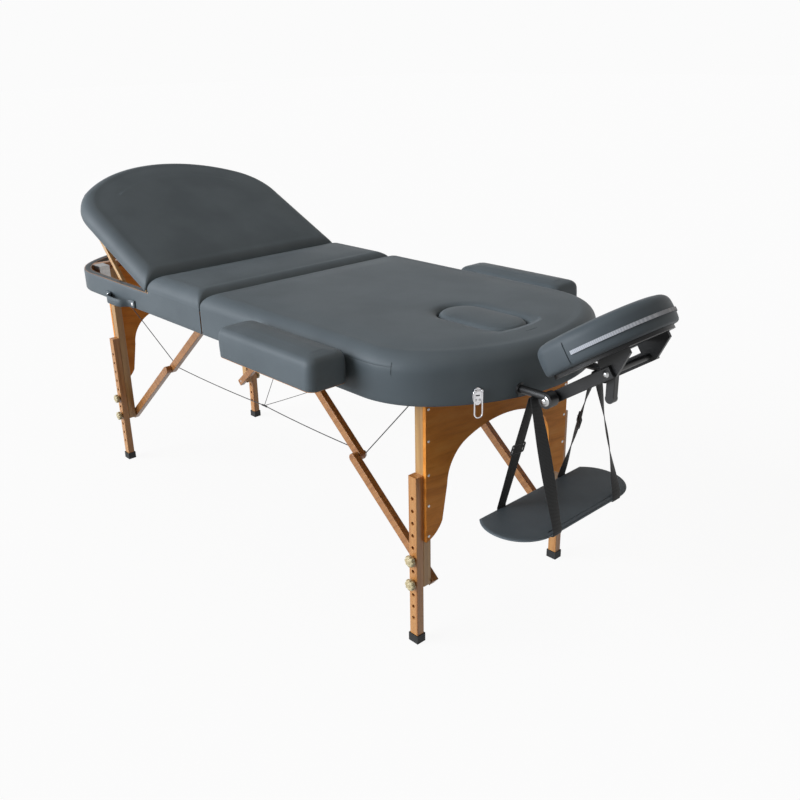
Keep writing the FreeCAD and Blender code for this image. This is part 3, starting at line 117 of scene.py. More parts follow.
def wire(tree, shader, **sockets):
    for socket, value in sockets.items():
        tree.links.new(value, shader.inputs[socket.replace("_", " ")])


# Vinyl: PVC-coated knit, calendered and embossed, so a soft wide sheen with a faint pebble in it
vinylLook = {"colour": "#5d666b", "shade": "#555e63", "rough": 0.52, "pebble": 2.4, "cloud": 140,
             "relief": 0.05}


def coatedVinyl(name, look):
    finish, tree, shader, place = newFinish(name, IOR=1.5, Specular_IOR_Level=0.3)
    # The real pebble is under 1 mm across, drawn at 2.4 mm so that it shows at all
    pebble = addNode(tree, "TexVoronoi", {"Vector": place, "Scale": 1 / (look["pebble"] * mm)},
                     feature="SMOOTH_F1")
    cloud = addNode(tree, "TexNoise", {"Vector": place, "Scale": 1 / (look["cloud"] * mm), "Detail": 3.0})
    tone = addNode(tree, "ValToRGB", {"Fac": cloud.outputs["Fac"]},
                   stops=[(0.36, look["shade"]), (0.64, look["colour"])])
    gloss = addNode(tree, "MapRange", {"Value": pebble.outputs["Distance"], "To Min": look["rough"] - 0.04,
                                       "To Max": look["rough"] + 0.05})
    relief = addNode(tree, "Bump", {"Height": pebble.outputs["Distance"], "Strength": look["relief"],
                                    "Distance": 0.0006})
    wire(tree, shader, Base_Color=tone.outputs["Color"], Roughness=gloss.outputs["Result"],
         Normal=relief.outputs["Normal"])
    return finish


greyVinyl = coatedVinyl("calenderedVinyl", vinylLook)
darkVinyl = coatedVinyl("calenderedVinylFittings", dict(vinylLook, colour="#535b60", shade="#4b5358"))
paleVinyl = coatedVinyl("calenderedVinylPiping", dict(vinylLook, colour="#727c83", shade="#697379"))

# Beech: steamed, planed and spray varnished, so long soft streaks, short dark flecks and a thin clear gloss
beechLook = {"light": "#cf9453", "mid": "#bd7e40", "dark": "#a0622c", "fleck": "#8a5426", "streak": (9, 260),
             "fleckSize": (2.2, 11), "rough": 0.38, "relief": 0.06, "coat": 0.25, "specular": 0.5}


def varnishedBeech(name, grain, look):
    finish, tree, shader, place = newFinish(name, IOR=1.52, Coat_Weight=look["coat"], Coat_Roughness=0.25,
                                            Specular_IOR_Level=look["specular"])
    turn = tuple(math.radians(a) for a in grain)
    laid = []
    for wide, long in (look["streak"], look["fleckSize"]):  # real flecks are half as wide, drawn wider to show
        size = (wide * mm, wide * mm, long * mm)
        mapping = addNode(tree, "Mapping", {"Vector": place, "Rotation": turn, "Scale": size},
                          vector_type="TEXTURE")
        laid.append(mapping.outputs["Vector"])
    streak = addNode(tree, "TexNoise", {"Vector": laid[0], "Scale": 1.0, "Detail": 5.0, "Roughness": 0.6,
                                        "Distortion": 0.4})
    tone = addNode(tree, "ValToRGB", {"Fac": streak.outputs["Fac"]},
                   stops=[(0.28, look["dark"]), (0.74, look["light"]), (0.5, look["mid"])])
    fleck = addNode(tree, "TexNoise", {"Vector": laid[1], "Scale": 1.0, "Detail": 2.0})
    mask = addNode(tree, "ValToRGB", {"Fac": fleck.outputs["Fac"]},
                   stops=[(0.6, "#000000"), (0.74, "#6a6a6a")])
    mixed = addNode(tree, "Mix", {0: mask.outputs["Color"], 6: tone.outputs["Color"],
                                  7: linear(look["fleck"])}, data_type="RGBA")
    gloss = addNode(tree, "MapRange", {"Value": streak.outputs["Fac"], "To Min": look["rough"] + 0.06,
                                       "To Max": look["rough"] - 0.06})
    relief = addNode(tree, "Bump", {"Height": streak.outputs["Fac"], "Strength": look["relief"],
                                    "Distance": 0.0008})
    wire(tree, shader, Base_Color=mixed.outputs[2], Roughness=gloss.outputs["Result"],
         Normal=relief.outputs["Normal"])
    return finish


legLook = dict(beechLook, light="#d0a669", mid="#bf9157", dark="#a37645")  # sapwood, paler and yellower
braceLook = dict(beechLook, light="#b88048", mid="#a66e38", dark="#8a5628")  # darker and redder
beechSlide = varnishedBeech("varnishedBeechSlidingLeg", (0, 0, 0),
                            dict(beechLook, light="#cf9a5c", mid="#c08548"))
beechUpright = varnishedBeech("varnishedBeechUpright", (0, 0, 0), legLook)
beechAlong = varnishedBeech("varnishedBeechAlong", (0, 90, 0), beechLook)
braceSlope = 130.4  # the grain runs along the slanting braces
beechBrace = {"head": varnishedBeech("varnishedBeechHeadBrace", (0, -braceSlope, 0), braceLook),
              "foot": varnishedBeech("varnishedBeechFootBrace", (0, braceSlope, 0), braceLook)}
paleBeech = varnishedBeech("varnishedBeechPale", (0, -136, 0),
                           dict(beechLook, light="#e3bd8a", mid="#d6aa74", dark="#c2925c"))

# Plywood: peeled beech veneers, glued and thinly varnished, so broad figure and a dull face
# Only the arched panels keep these colours: the plywood's honey tone raised by painted light, brighter and more
# orange than the plywood is, in place of light the lamps don't bring to the panels in shade
plyLook = dict(beechLook, light="#f8aa50", mid="#ee983b", dark="#d07d2a", streak=(26, 190), rough=0.5,
               coat=0.04, specular=0.25)
archPly = varnishedBeech("varnishedPlywoodArchPaintedLight", (84, 0, 0), plyLook)
deckPly = varnishedBeech("rawPlywoodDeck", (0, 90, 0),
                         dict(plyLook, light="#d9b98c", mid="#cfa874", dark="#b98d58", rough=0.6))


# Moulded plastics: an even colour with the fine spark-eroded skin of the tool, which breaks up highlights
def mouldedPlastic(name, colour, shade, rough, grit, relief, ior):
    finish, tree, shader, place = newFinish(name, IOR=ior)
    grain = addNode(tree, "TexNoise", {"Vector": place, "Scale": 1 / (grit * mm), "Detail": 4.0})
    tone = addNode(tree, "ValToRGB", {"Fac": grain.outputs["Fac"]}, stops=[(0.3, shade), (0.7, colour)])
    gloss = addNode(tree, "MapRange", {"Value": grain.outputs["Fac"], "To Min": rough - 0.07,
                                       "To Max": rough + 0.07})
    skin = addNode(tree, "Bump", {"Height": grain.outputs["Fac"], "Strength": relief, "Distance": 0.0005})
    wire(tree, shader, Base_Color=tone.outputs["Color"], Roughness=gloss.outputs["Result"],
         Normal=skin.outputs["Normal"])
    return finish


blackNylon = mouldedPlastic("mouldedBlackNylon", "#191a1c", "#111213", 0.45, 1.6, 0.08, 1.53)
creamAbs = mouldedPlastic("mouldedCreamAbs", "#cdbf98", "#bfae84", 0.42, 6.0, 0.05, 1.54)
footRubber = mouldedPlastic("mouldedRubber", "#1c1c1b", "#131312", 0.75, 1.8, 0.12, 1.52)
cablePvc = mouldedPlastic("extrudedBlackPvc", "#131314", "#0d0d0e", 0.5, 2.0, 0.05, 1.53)
threadGrey = mouldedPlastic("twistedPolyesterThread", "#7f888d", "#6d767b", 0.7, 1.0, 0.1, 1.5)
# seamShade is painted shade: a dark colour for thin tubes that stand for the shade in seam creases and in the
# latch slot's recess
seamShade = mouldedPlastic("paintedSeamShade", "#3c4448", "#343c40", 0.6, 2.0, 0.1, 1.5)


# Plated steel: zinc is satin with a faint mottle, chrome is bright with a trace of polish marks
def platedSteel(name, colour, shade, rough, mottle):
    finish, tree, shader, place = newFinish(name, Metallic=1.0)
    cloud = addNode(tree, "TexNoise", {"Vector": place, "Scale": 1 / (mottle * mm), "Detail": 4.0})
    tone = addNode(tree, "ValToRGB", {"Fac": cloud.outputs["Fac"]}, stops=[(0.3, shade), (0.7, colour)])
    gloss = addNode(tree, "MapRange", {"Value": cloud.outputs["Fac"], "To Min": rough * 0.8,
                                       "To Max": rough * 1.25})
    wire(tree, shader, Base_Color=tone.outputs["Color"], Roughness=gloss.outputs["Result"])
    return finish


zincSteel = platedSteel("zincPlatedSteel", "#c3c4c4", "#adaeae", 0.34, 7.0)
chromeSteel = platedSteel("chromePlatedSteel", "#dedee0", "#cfcfd2", 0.14, 12.0)


# Webbing: polypropylene yarn woven in a twill, so slanting ribs with a dull sheen
def wovenWebbing(name, colour, shade, rib, rough):
    finish, tree, shader, place = newFinish(name, IOR=1.49, Sheen_Weight=0.15, Sheen_Roughness=0.5)
    laid = addNode(tree, "Mapping", {"Vector": place, "Rotation": (0, 0, math.radians(45))})
    # Ribs are 1 mm apart on the real strap, drawn at 2.5 mm so that they show
    ribs = addNode(tree, "TexWave", {"Vector": laid.outputs["Vector"], "Scale": 0.314 / (rib * mm),
                                     "Distortion": 0.6, "Detail": 1.0}, bands_direction="DIAGONAL")
    tone = addNode(tree, "ValToRGB", {"Fac": ribs.outputs["Fac"]}, stops=[(0.2, shade), (0.8, colour)])
    relief = addNode(tree, "Bump", {"Height": ribs.outputs["Fac"], "Strength": 0.3, "Distance": 0.0006})
    shader.inputs["Roughness"].default_value = rough
    wire(tree, shader, Base_Color=tone.outputs["Color"], Normal=relief.outputs["Normal"])
    return finish


blackWebbing = wovenWebbing("wovenPolypropylene", "#18191a", "#0c0d0d", 2.5, 0.72)
loopTape = wovenWebbing("knittedLoopTape", "#c3c6cc", "#aeb2ba", 3.0, 0.8)
print("materials made")


# Mesh helpers. Points are in mm from the fold line, and the mesh is in metres in the shared frame
def toFrame(point):
    return Vector(((point[0] + foldX) * mm, point[1] * mm, point[2] * mm))


def placed(name, data, slotName):
    piece = bpy.data.objects.new(name, data)
    scene.collection.objects.link(piece)
    if slotName:
        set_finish(piece, slotName)
    return piece


def newPiece(name, points, faces, finish, slotName):
    data = bpy.data.meshes.new(name)
    data.from_pydata([toFrame(p) for p in points], [], faces)
    data.materials.append(finish)
    data.shade_smooth()
    return placed(name, data, slotName)


def mirrored(spot, way, hand):
    return spot[0] * way, spot[1] * hand, spot[2]


def lastRing(points, count):
    return list(range(len(points) - count, len(points)))


def endCaps(total, count):
    # Faces that close the first ring and the last
    return [tuple(reversed(range(count))), tuple(range(total - count, total))]


def ringFaces(rows, count, first=0, loop=True):
    faces = []
    for row in range(rows - 1):
        for step in range(count if loop else count - 1):
            a = first + row * count + step
            b = first + row * count + (step + 1) % count
            faces.append((a, b, b + count, a + count))
    return faces


def patchFill(points, ring, across, along, lift=0.0, up=(0, 0, 1)):
    # A quad patch inside a ring of 2 * (across + along) points whose first point is a corner
    count = len(ring)
    corner = [Vector(points[ring[i]]) for i in (0, across, across + along, 2 * across + along)]
    index = {}
    for i in range(across + 1):
        for j in range(along + 1):
            low, high = ring[i], ring[2 * across + along - i]
            left, right = ring[(count - j) % count], ring[across + j]
            if j == 0:
                index[i, j] = low
            elif j == along:
                index[i, j] = high
            elif i == 0:
                index[i, j] = left
            elif i == across:
                index[i, j] = right
            else:
                u, v = i / across, j / along
                spot = ((1 - v) * Vector(points[low]) + v * Vector(points[high])
                        + (1 - u) * Vector(points[left]) + u * Vector(points[right])
                        - (1 - u) * (1 - v) * corner[0] - u * (1 - v) * corner[1]
                        - u * v * corner[2] - (1 - u) * v * corner[3])
                rise = lift * (1 - (2 * u - 1) ** 2) * (1 - (2 * v - 1) ** 2)
                points.append(tuple(spot + rise * Vector(up)))
                index[i, j] = len(points) - 1
    return [(index[i, j], index[i + 1, j], index[i + 1, j + 1], index[i, j + 1])
            for i in range(across) for j in range(along)]


def smoothStep(low, high, value):
    t = min(max((value - low) / (high - low), 0.0), 1.0)
    return t * t * (3 - 2 * t)


def curveMesh(name, spots, steps, radius=0.0, sides=4, spline="NURBS", cyclic=False):
    curve = bpy.data.curves.new(name, "CURVE")
    curve.dimensions = "3D"
    curve.bevel_depth = radius
    curve.bevel_resolution = max(sides // 4, 1)
    curve.use_fill_caps = True
    line = curve.splines.new(spline)
    line.points.add(len(spots) - 1)
    for point, spot in zip(line.points, spots):
        point.co = (*spot, 1.0)
    if spline == "NURBS":
        line.order_u = min(3, len(spots))
        line.use_endpoint_u = not cyclic
    line.use_cyclic_u = cyclic
    curve.resolution_u = steps
    holder = bpy.data.objects.new(name + "Curve", curve)
    scene.collection.objects.link(holder)
    bpy.context.view_layer.update()
    data = bpy.data.meshes.new_from_object(holder.evaluated_get(bpy.context.evaluated_depsgraph_get()))
    bpy.data.objects.remove(holder)
    return data


def tubeAlong(name, path, radius, finish, slotName, sides=10, spline="NURBS", cyclic=False):
    data = curveMesh(name, [toFrame(p) for p in path], curveSteps, radius * mm, sides, spline, cyclic)
    data.name = name
    data.materials.clear()
    data.materials.append(finish)
    data.shade_smooth()
    return placed(name, data, slotName)


def turned(name, profile, base, axis, finish, slotName, sides=40, lobes=0, lobeDeep=0.0):
    # A turned or moulded form: rows of radius, height and, where there is one, share of the lobes
    axis = Vector(axis).normalized()
    side = axis.orthogonal().normalized()
    other = axis.cross(side)
    points = []
    for radius, height, *lobe in profile:
        share = lobe[0] if lobe else 0
        for step in range(sides):
            angle = 2 * math.pi * step / sides
            reach = radius * (1 - lobeDeep * share * (0.5 - 0.5 * math.cos(lobes * angle)) ** 1.5)
            points.append(tuple(Vector(base) + height * axis
                                + reach * (math.cos(angle) * side + math.sin(angle) * other)))
    faces = ringFaces(len(profile), sides) + endCaps(len(points), sides)
    return newPiece(name, points, faces, finish, slotName)


def joined(name, pieces):
    # Several meshes made one piece, which keeps the first one's slot
    merged = bmesh.new()
    finishes = []
    for piece in pieces:
        first = len(merged.faces)
        merged.from_mesh(piece.data)
        merged.faces.ensure_lookup_table()
        for face in merged.faces[first:]:
            finish = piece.data.materials[face.material_index]
            if finish not in finishes:
                finishes.append(finish)
            face.material_index = finishes.index(finish)
    data = bpy.data.meshes.new(name)
    merged.to_mesh(data)
    merged.free()
    for finish in finishes:
        data.materials.append(finish)
    slotName = pieces[0].get("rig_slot")
    for piece in pieces:
        bpy.data.objects.remove(piece)
    return placed(name, data, slotName)


# Padding of every cover: a light, stiff skin, blown up from inside for a few frames and then evened out
clothLook = {"quality": 4, "mass": 0.4, "tension_stiffness": 30, "compression_stiffness": 30,
             "shear_stiffness": 10, "bending_stiffness": 2, "use_pressure": True, "vertex_group_mass": "held"}
clothRun = {"frames": 20, "evenRounds": 120}


def evenMoves(data, moves, held, rounds):
    # Each point's move is averaged with its neighbours', so that the cover swells full and without puckers
    edges = np.array([edge.vertices[:] for edge in data.edges])
    near = np.maximum(np.bincount(edges.ravel(), minlength=len(moves)), 1)[:, None]
    for _ in range(rounds):
        total = np.zeros_like(moves)
        np.add.at(total, edges[:, 0], moves[edges[:, 1]])
        np.add.at(total, edges[:, 1], moves[edges[:, 0]])
        moves = 0.5 * moves + 0.5 * total / near
        moves[held] = 0.0
    return moves


def swell(piece, held, push, cap):
    # The held points stay, and no point moves further than cap
    data = piece.data
    group = piece.vertex_groups.new(name="held")
    group.add(held, 1.0, "REPLACE")
    cloth = piece.modifiers.new("padding", "CLOTH")
    for setting, value in clothLook.items():
        setattr(cloth.settings, setting, value)
    cloth.settings.uniform_pressure_force = push
    cloth.settings.effector_weights.gravity = 0
    cloth.collision_settings.use_collision = False
    cloth.point_cache.frame_start = 1
    cloth.point_cache.frame_end = clothRun["frames"]
    before = [v.co.copy() for v in data.vertices]
    for step in range(1, clothRun["frames"] + 1):
        scene.frame_set(step)
    blown = piece.evaluated_get(bpy.context.evaluated_depsgraph_get()).data
    after = [v.co.copy() for v in blown.vertices]
    piece.modifiers.remove(cloth)
    piece.vertex_groups.remove(group)
    moves = np.array([end - start for start, end in zip(before, after)])
    reach = np.maximum(np.linalg.norm(moves, axis=1, keepdims=True), 1e-9)
    moves *= np.minimum(1.0, cap * mm / reach)
    for vertex, start, move in zip(data.vertices, before, evenMoves(data, moves, held, clothRun["evenRounds"])):
        vertex.co = start + Vector(move)
    data.update()
    scene.frame_set(1)


def spaced(path, step):
    # Points at even steps along a line of points
    marks, left = [], 0.0
    for a, b in zip(path, path[1:]):
        a, b = Vector(a), Vector(b)
        run = (b - a).length
        while left < run:
            marks.append((a + (b - a) * (left / run), (b - a).normalized()))
            left += step
        left -= run
    return marks


def stitches(name, path, outward, long, pitch, thick, finish):
    # One small rounded dash for each stitch, lying on the cover
    points, faces = [], []
    for spot, along in spaced(path, pitch):
        out = Vector(outward(spot)).normalized()
        side = along.cross(out).normalized()
        first = len(points)
        for share, size in ((-0.5, 0.3), (-0.34, 0.95), (0.34, 0.95), (0.5, 0.3)):
            for step in range(6):
                angle = math.pi * step / 3
                points.append(tuple(spot + along * long * share + out * (0.2 + thick * size * math.cos(angle))
                                    + side * thick * size * math.sin(angle)))
        faces += ringFaces(4, 6, first)
        faces += [tuple(first + i for i in reversed(range(6))), tuple(first + 18 + i for i in range(6))]
    return newPiece(name, points, faces, finish, "vinyl")


# Plan of one half of the table top
tablePlan = {"length": 906, "end": 260, "half": 350, "corner": 205, "endRadius": 423.64, "arc": 41.54,
             "sideSteps": 70, "cornerSteps": 40, "endSteps": 70, "foldSteps": 62, "turnSteps": 4}
railWrap = [(18, 631.4), (4, 631.0), (1, 631.7), (0, 634)]  # (inset, height) of the vinyl under a rail's edge
cornerX = tablePlan["length"] - tablePlan["end"]
cornerY = tablePlan["half"] - tablePlan["corner"]
endCentre = tablePlan["length"] - tablePlan["endRadius"]


def arcRun(centre, radius, start, stop, count):
    angles = [math.radians(start + (stop - start) * k / count) for k in range(count)]
    return [(centre[0] + radius * math.cos(a), centre[1] + radius * math.sin(a)) for a in angles]


def sideRun(start, inset):
    # Near side, round the end, far side, without the last point
    side = tablePlan["half"] - inset
    arc = tablePlan["arc"]
    radius = tablePlan["corner"] - inset
    steps, cornerSteps = tablePlan["sideSteps"], tablePlan["cornerSteps"]
    return ([(start + (cornerX - start) * k / steps, -side) for k in range(steps)]
            + arcRun((cornerX, -cornerY), radius, -90, -arc, cornerSteps)
            + arcRun((endCentre, 0), tablePlan["endRadius"] - inset, -arc, arc, tablePlan["endSteps"])
            + arcRun((cornerX, cornerY), radius, arc, 90, cornerSteps)
            + [(cornerX + (start - cornerX) * k / steps, side) for k in range(steps)])


def halfRing(root, inset, corner):
    # Counter-clockwise from the middle of the near corner at the fold
    side = tablePlan["half"] - inset
    near = (root + corner, -side + corner)
    far = (root + corner, side - corner)
    turn, fold = tablePlan["turnSteps"], tablePlan["foldSteps"]
    return (arcRun(near, corner, 225, 270, turn) + sideRun(root + corner, inset)
            + arcRun(far, corner, 90, 135, turn) + arcRun(far, corner, 135, 180, turn)
            + [(root, far[1] + (near[1] - far[1]) * k / fold) for k in range(fold)]
            + arcRun(near, corner, 180, 225, turn))


def cornerAt(inset):
    # Corners of the covers at the fold get rounder up over the padding
    return 5 + 0.4 * min(inset, 60)


def outFromTop(spot):
    # Level direction away from the middle of the table top
    return spot[0] - max(min(spot[0], endCentre), 0), spot[1], 0


def roundOver(edge, base, angles):
    # (inset, height) rows over a rounded edge that starts at a height
    return [(edge * (1 - math.cos(math.radians(a))), base + edge * math.sin(math.radians(a))) for a in angles]


# Shape of all three pads of the table top
padShape = {"shoulder": 702, "edge": 40, "top": 744, "crown": 3, "seam": 17.5, "push": 3.0, "cap": 2.0}


def padRows(s):
    # (inset, height, share of the seam's valley) from the shoulder over the rounded edge and up to the crown
    edge, seam, crown = s["edge"], s["seam"], s["crown"]
    angles = [0, 6, 11, seam - 3, seam, seam + 3, 25, 31, 38, 46, 54, 62, 70, 78, 84, 90]
    rows = [(*row, float(a == seam)) for row, a in zip(roundOver(edge, s["shoulder"], angles), angles)]
    shares = (0.12, 0.25, 0.4, 0.55, 0.7, 0.85, 1.0)
    base = s["top"] - crown
    return rows + [(edge + s["run"] * t, base + crown * math.sin(t * math.pi / 2), 0.0) for t in shares]


# Head half: one cover from under the rails up over the padding and down into the face hole
# fold is the radius of the dark line of painted shade along the seam
headPad = {**padShape, "root": 1.5, "wrap": 0.7, "run": 70, "valley": 0.5, "seamFrom": 520, "seamTo": 724,
           "fade": 40, "held": 722, "fold": 0.5, "stitchDrop": 3.2,
           "stitch": (3.2, 4.8, 0.42)}  # stitch: long, pitch, thick
holeRim = [(30, 744), (20, 743.6), (12, 742.2), (6.5, 739.5), (3, 735.5), (1, 730), (0, 723), (0, 710),
           (0, 696.5)]  # (distance from the face hole, height) of the cover going down into it
plug = {"x": 678, "long": 234, "wide": 128, "gap": 2.0, "top": 746, "edge": 16, "low": 692, "held": 726,
        "push": 3.0, "cap": 2.0, "steps": 30, "turn": 8, "lift": 0.5}


def plugReach(point, grow):
    # Where the line from the face hole's middle to a point crosses the hole's outline, grown by some mm
    radius = plug["wide"] / 2 + plug["gap"] + grow
    flat = (plug["long"] - plug["wide"]) / 2
    dx, dy = point[0] - plug["x"], point[1]
    long = math.hypot(dx, dy)
    dx, dy = dx / long, dy / long
    if abs(dy) > 1e-9 and abs(dx) * radius / abs(dy) <= flat:
        reach = radius / abs(dy)
    else:
        offset = abs(dx) * flat
        reach = offset + math.sqrt(max(offset * offset - flat * flat + radius * radius, 0))
    return plug["x"] + dx * reach, dy * reach


def makeHeadCover(s):
    wall = [(0, z) for z in (644, 656, 668, 680, 690, 697)]
    rows = [(*row, 0) for row in railWrap + wall] + padRows(s)
    points, seamPath = [], []
    root, inner = s["root"] - s["wrap"], s["edge"] + s["run"]
    for inset, z, valley in rows:
        for x, y in halfRing(root + inset, inset, cornerAt(inset)):
            share = smoothStep(s["seamFrom"], s["seamFrom"] + s["fade"], x) * (x < s["seamTo"])
            deep = valley * s["valley"] * share
            out = Vector(outFromTop((x, y))).normalized()
            points.append((x - out.x * deep, y - out.y * deep, z))
            if valley and s["seamFrom"] < x < s["seamTo"]:
                seamPath.append((x, y, z))
    ring = halfRing(root + inner, inner, cornerAt(inner))
    for share in (0.15, 0.3, 0.45, 0.6, 0.75, 0.9):
        for x, y in ring:
            goalX, goalY = plugReach((x, y), holeRim[0][0])
            points.append((x + (goalX - x) * share, y + (goalY - y) * share, s["top"]))
    for grow, z in holeRim:
        points += [(*plugReach(point, grow), z) for point in ring]
    count = len(ring)
    total = len(points) // count
    piece = newPiece("headCover", points, ringFaces(total, count), greyVinyl, "vinyl")
    rimStart = (total - len(holeRim) + 2) * count  # all but the two outer rows of the rim are held
    held = [i for i, p in enumerate(points) if p[2] < s["held"] or i >= rimStart]
    swell(piece, held, s["push"], s["cap"])
    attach(piece, "head_half")
    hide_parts("head_pad", "head_side_band")
    return seamPath


headSeamPath = makeHeadCover(headPad)
print("head cover made")


# A thin dark tube of painted shade, which stands for the shade in a seam's crease
def seamShadeLine(name, path, radius):
    return tubeAlong(name, path, radius, seamShade, "vinyl", sides=6, spline="POLY")


def sewnSeam(name, path, s):
    # A fine dark line of painted shade in the crease where two panels meet, and a row of topstitching below it
    below = []
    for x, y, z in path:
        out = 0.25 * Vector(outFromTop((x, y))).normalized()
        below.append((x + out.x, y + out.y, z - s["stitchDrop"]))
    row = stitches(name + "Stitches", below, outFromTop, *s["stitch"], threadGrey)
    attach(joined(name, [seamShadeLine(name + "Fold", path, s["fold"]), row]), "head_half")


for seamName, seamHand in hands.items():
    sewnSeam("headSeam_" + seamName, [p for p in headSeamPath if p[1] * seamHand > 0], headPad)

# Where the side's panels meet, round the corner, a short dark line of painted shade down the crease
panelSeam = {"angle": 67.6, "from": 697, "to": 723, "lift": 0.2, "radius": 0.6, "steps": 8}


def makePanelSeam(s):
    shadeLines = []
    angle = math.radians(s["angle"])
    for hand in hands.values():
        path = []
        for k in range(s["steps"] + 1):
            z = s["from"] + (s["to"] - s["from"]) * k / s["steps"]
            rise = max(z - headPad["shoulder"], 0)
            inset = headPad["edge"] - math.sqrt(headPad["edge"] ** 2 - rise ** 2)
            out = tablePlan["corner"] - inset + s["lift"]
            path.append((cornerX + out * math.cos(angle), hand * (cornerY + out * math.sin(angle)), z))
        shadeLines.append(seamShadeLine("fold", path, s["radius"]))
    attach(joined("headPanelSeamShade", shadeLines), "head_half")


makePanelSeam(panelSeam)

# Foot half: a band that runs round the rails and over their top edge, and the short middle pad
footBand = {"root": 0.8, "taper": (267, 279)}  # taper: from the pad's height down to the bare rim
middlePad = {**padShape, "from": -281, "to": -0.8, "base": 692.5, "run": 50, "held": 716, "steps": (28, 78),
             "lift": 0.6}


def makeFootBand(s):
    # Each row is (inset, height) beside the pad and (inset, height) where the rim is bare
    rows = [(spot, spot) for spot in railWrap + [(0, 646), (0, 660), (0, 674), (0, 684)]]
    rows += [((-0.1, 692), (0.4, 688.6)), ((-0.1, 696), (1.6, 691.2)), ((-0.1, 700), (4, 692.2)),
             ((-0.1, 702), (10, 692.2)), ((0.4, 702.6), (20.5, 692.2)), ((1.2, 702.4), (22.4, 690.6)),
             ((2.4, 701), (22.4, 680))]
    points = []
    for padRow, rimRow in rows:
        rims = sideRun(s["root"], rimRow[0]) + [(s["root"], tablePlan["half"] - rimRow[0])]
        pads = sideRun(s["root"], padRow[0]) + [(s["root"], tablePlan["half"] - padRow[0])]
        for (rx, ry), (px, py) in zip(rims, pads):
            share = smoothStep(*s["taper"], rx)
            points.append((-(px + (rx - px) * share), py + (ry - py) * share,
                           padRow[1] + (rimRow[1] - padRow[1]) * share))
    count = len(points) // len(rows)
    faces = [tuple(reversed(face)) for face in ringFaces(len(rows), count, loop=False)]
    piece = newPiece("footBand", points, faces, greyVinyl, "vinyl")
    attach(piece, "foot_half")
    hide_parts("foot_side_band")


def boxRing(low, high, wide, inset, corner, along, across):
    # Counter-clockwise from the middle of the corner at low X and negative Y
    x0, x1, y0, y1 = low + inset, high - inset, -wide + inset, wide - inset
    spots = [(x0 + corner, y0 + corner), (x1 - corner, y0 + corner), (x1 - corner, y1 - corner),
             (x0 + corner, y1 - corner)]
    ring = []
    for k, (spot, count) in enumerate(zip(spots, (along, across, along, across))):
        after = spots[(k + 1) % 4]
        angle = math.radians(270 + 90 * k)
        out = (corner * math.cos(angle), corner * math.sin(angle))
        ring += arcRun(spot, corner, 225 + 90 * k, 270 + 90 * k, boxTurn)
        ring += [(spot[0] + out[0] + (after[0] - spot[0]) * t / count,
                  spot[1] + out[1] + (after[1] - spot[1]) * t / count) for t in range(count)]
        ring += arcRun(after, corner, 270 + 90 * k, 315 + 90 * k, boxTurn)
    return ring


def makeMiddleCover(s):
    rows = [(0.3, s["base"], 0), (0, s["base"] + 4, 0)] + padRows(s)
    points = []
    for inset, z, _ in rows:
        ring = boxRing(s["from"], s["to"], tablePlan["half"], inset, cornerAt(inset), *s["steps"])
        points += [(x, y, z) for x, y in ring]
    across, along = (n + 2 * boxTurn for n in s["steps"])
    faces = ringFaces(len(rows), len(ring))
    faces += patchFill(points, lastRing(points, len(ring)), across, along, s["lift"])
    piece = newPiece("middleCover", points, faces, greyVinyl, "vinyl")
    swell(piece, [i for i, p in enumerate(points) if p[2] < s["held"]], s["push"], s["cap"])
    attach(piece, "foot_half")
    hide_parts("middle_pad")


makeFootBand(footBand)
makeMiddleCover(middlePad)

# Backrest: the same padding on its own board, tilted about the hinge at the middle pad
# fold is the radius of the dark line of painted shade along the seam
backrest = {**padShape, "root": 293, "hinge": (-287, 0, 696), "tilt": 24.2, "low": 692.3, "run": 70,
            "valley": 0.5, "seamFrom": 780, "fade": 30, "held": 718, "fold": 0.7, "patch": (70, 114, 0.8)}


def leaned(point, hinge, angle):
    turn = Matrix.Rotation(math.radians(angle), 3, "Y")
    return tuple(turn @ (Vector(point) - Vector(hinge)) + Vector(hinge))


def makeBackrest(s):
    low = s["low"]
    rows = [(20, low - 0.04, 0), (3, low - 0.04, 0), (0.7, low + 0.6, 0), (0, low + 2.5, 0), (0, 698, 0)]
    rows += padRows(s)
    flat, seamPath = [], []
    for inset, z, valley in rows:
        ring = halfRing(s["root"] + inset, inset, cornerAt(inset))
        for x, y in ring[:1] + ring[:0:-1]:
            deep = valley * s["valley"] * smoothStep(s["seamFrom"], s["seamFrom"] + s["fade"], x)
            out = Vector(outFromTop((x, y))).normalized()
            flat.append((-(x - out.x * deep), y - out.y * deep, z))
            if valley and x > s["seamFrom"]:
                seamPath.append(leaned((-x, y, z), s["hinge"], s["tilt"]))
    faces = ringFaces(len(rows), len(ring)) + patchFill(flat, lastRing(flat, len(ring)), *s["patch"])
    points = [leaned(p, s["hinge"], s["tilt"]) for p in flat]
    piece = newPiece("backrestCover", points, faces, greyVinyl, "vinyl")
    swell(piece, [i for i, p in enumerate(flat) if p[2] < s["held"]], s["push"], s["cap"])
    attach(piece, "backrest")
    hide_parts("backrest_pad")
    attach(seamShadeLine("backrestSeamFold", seamPath, s["fold"]), "backrest")


makeBackrest(backrest)
print("foot half and backrest covers made")


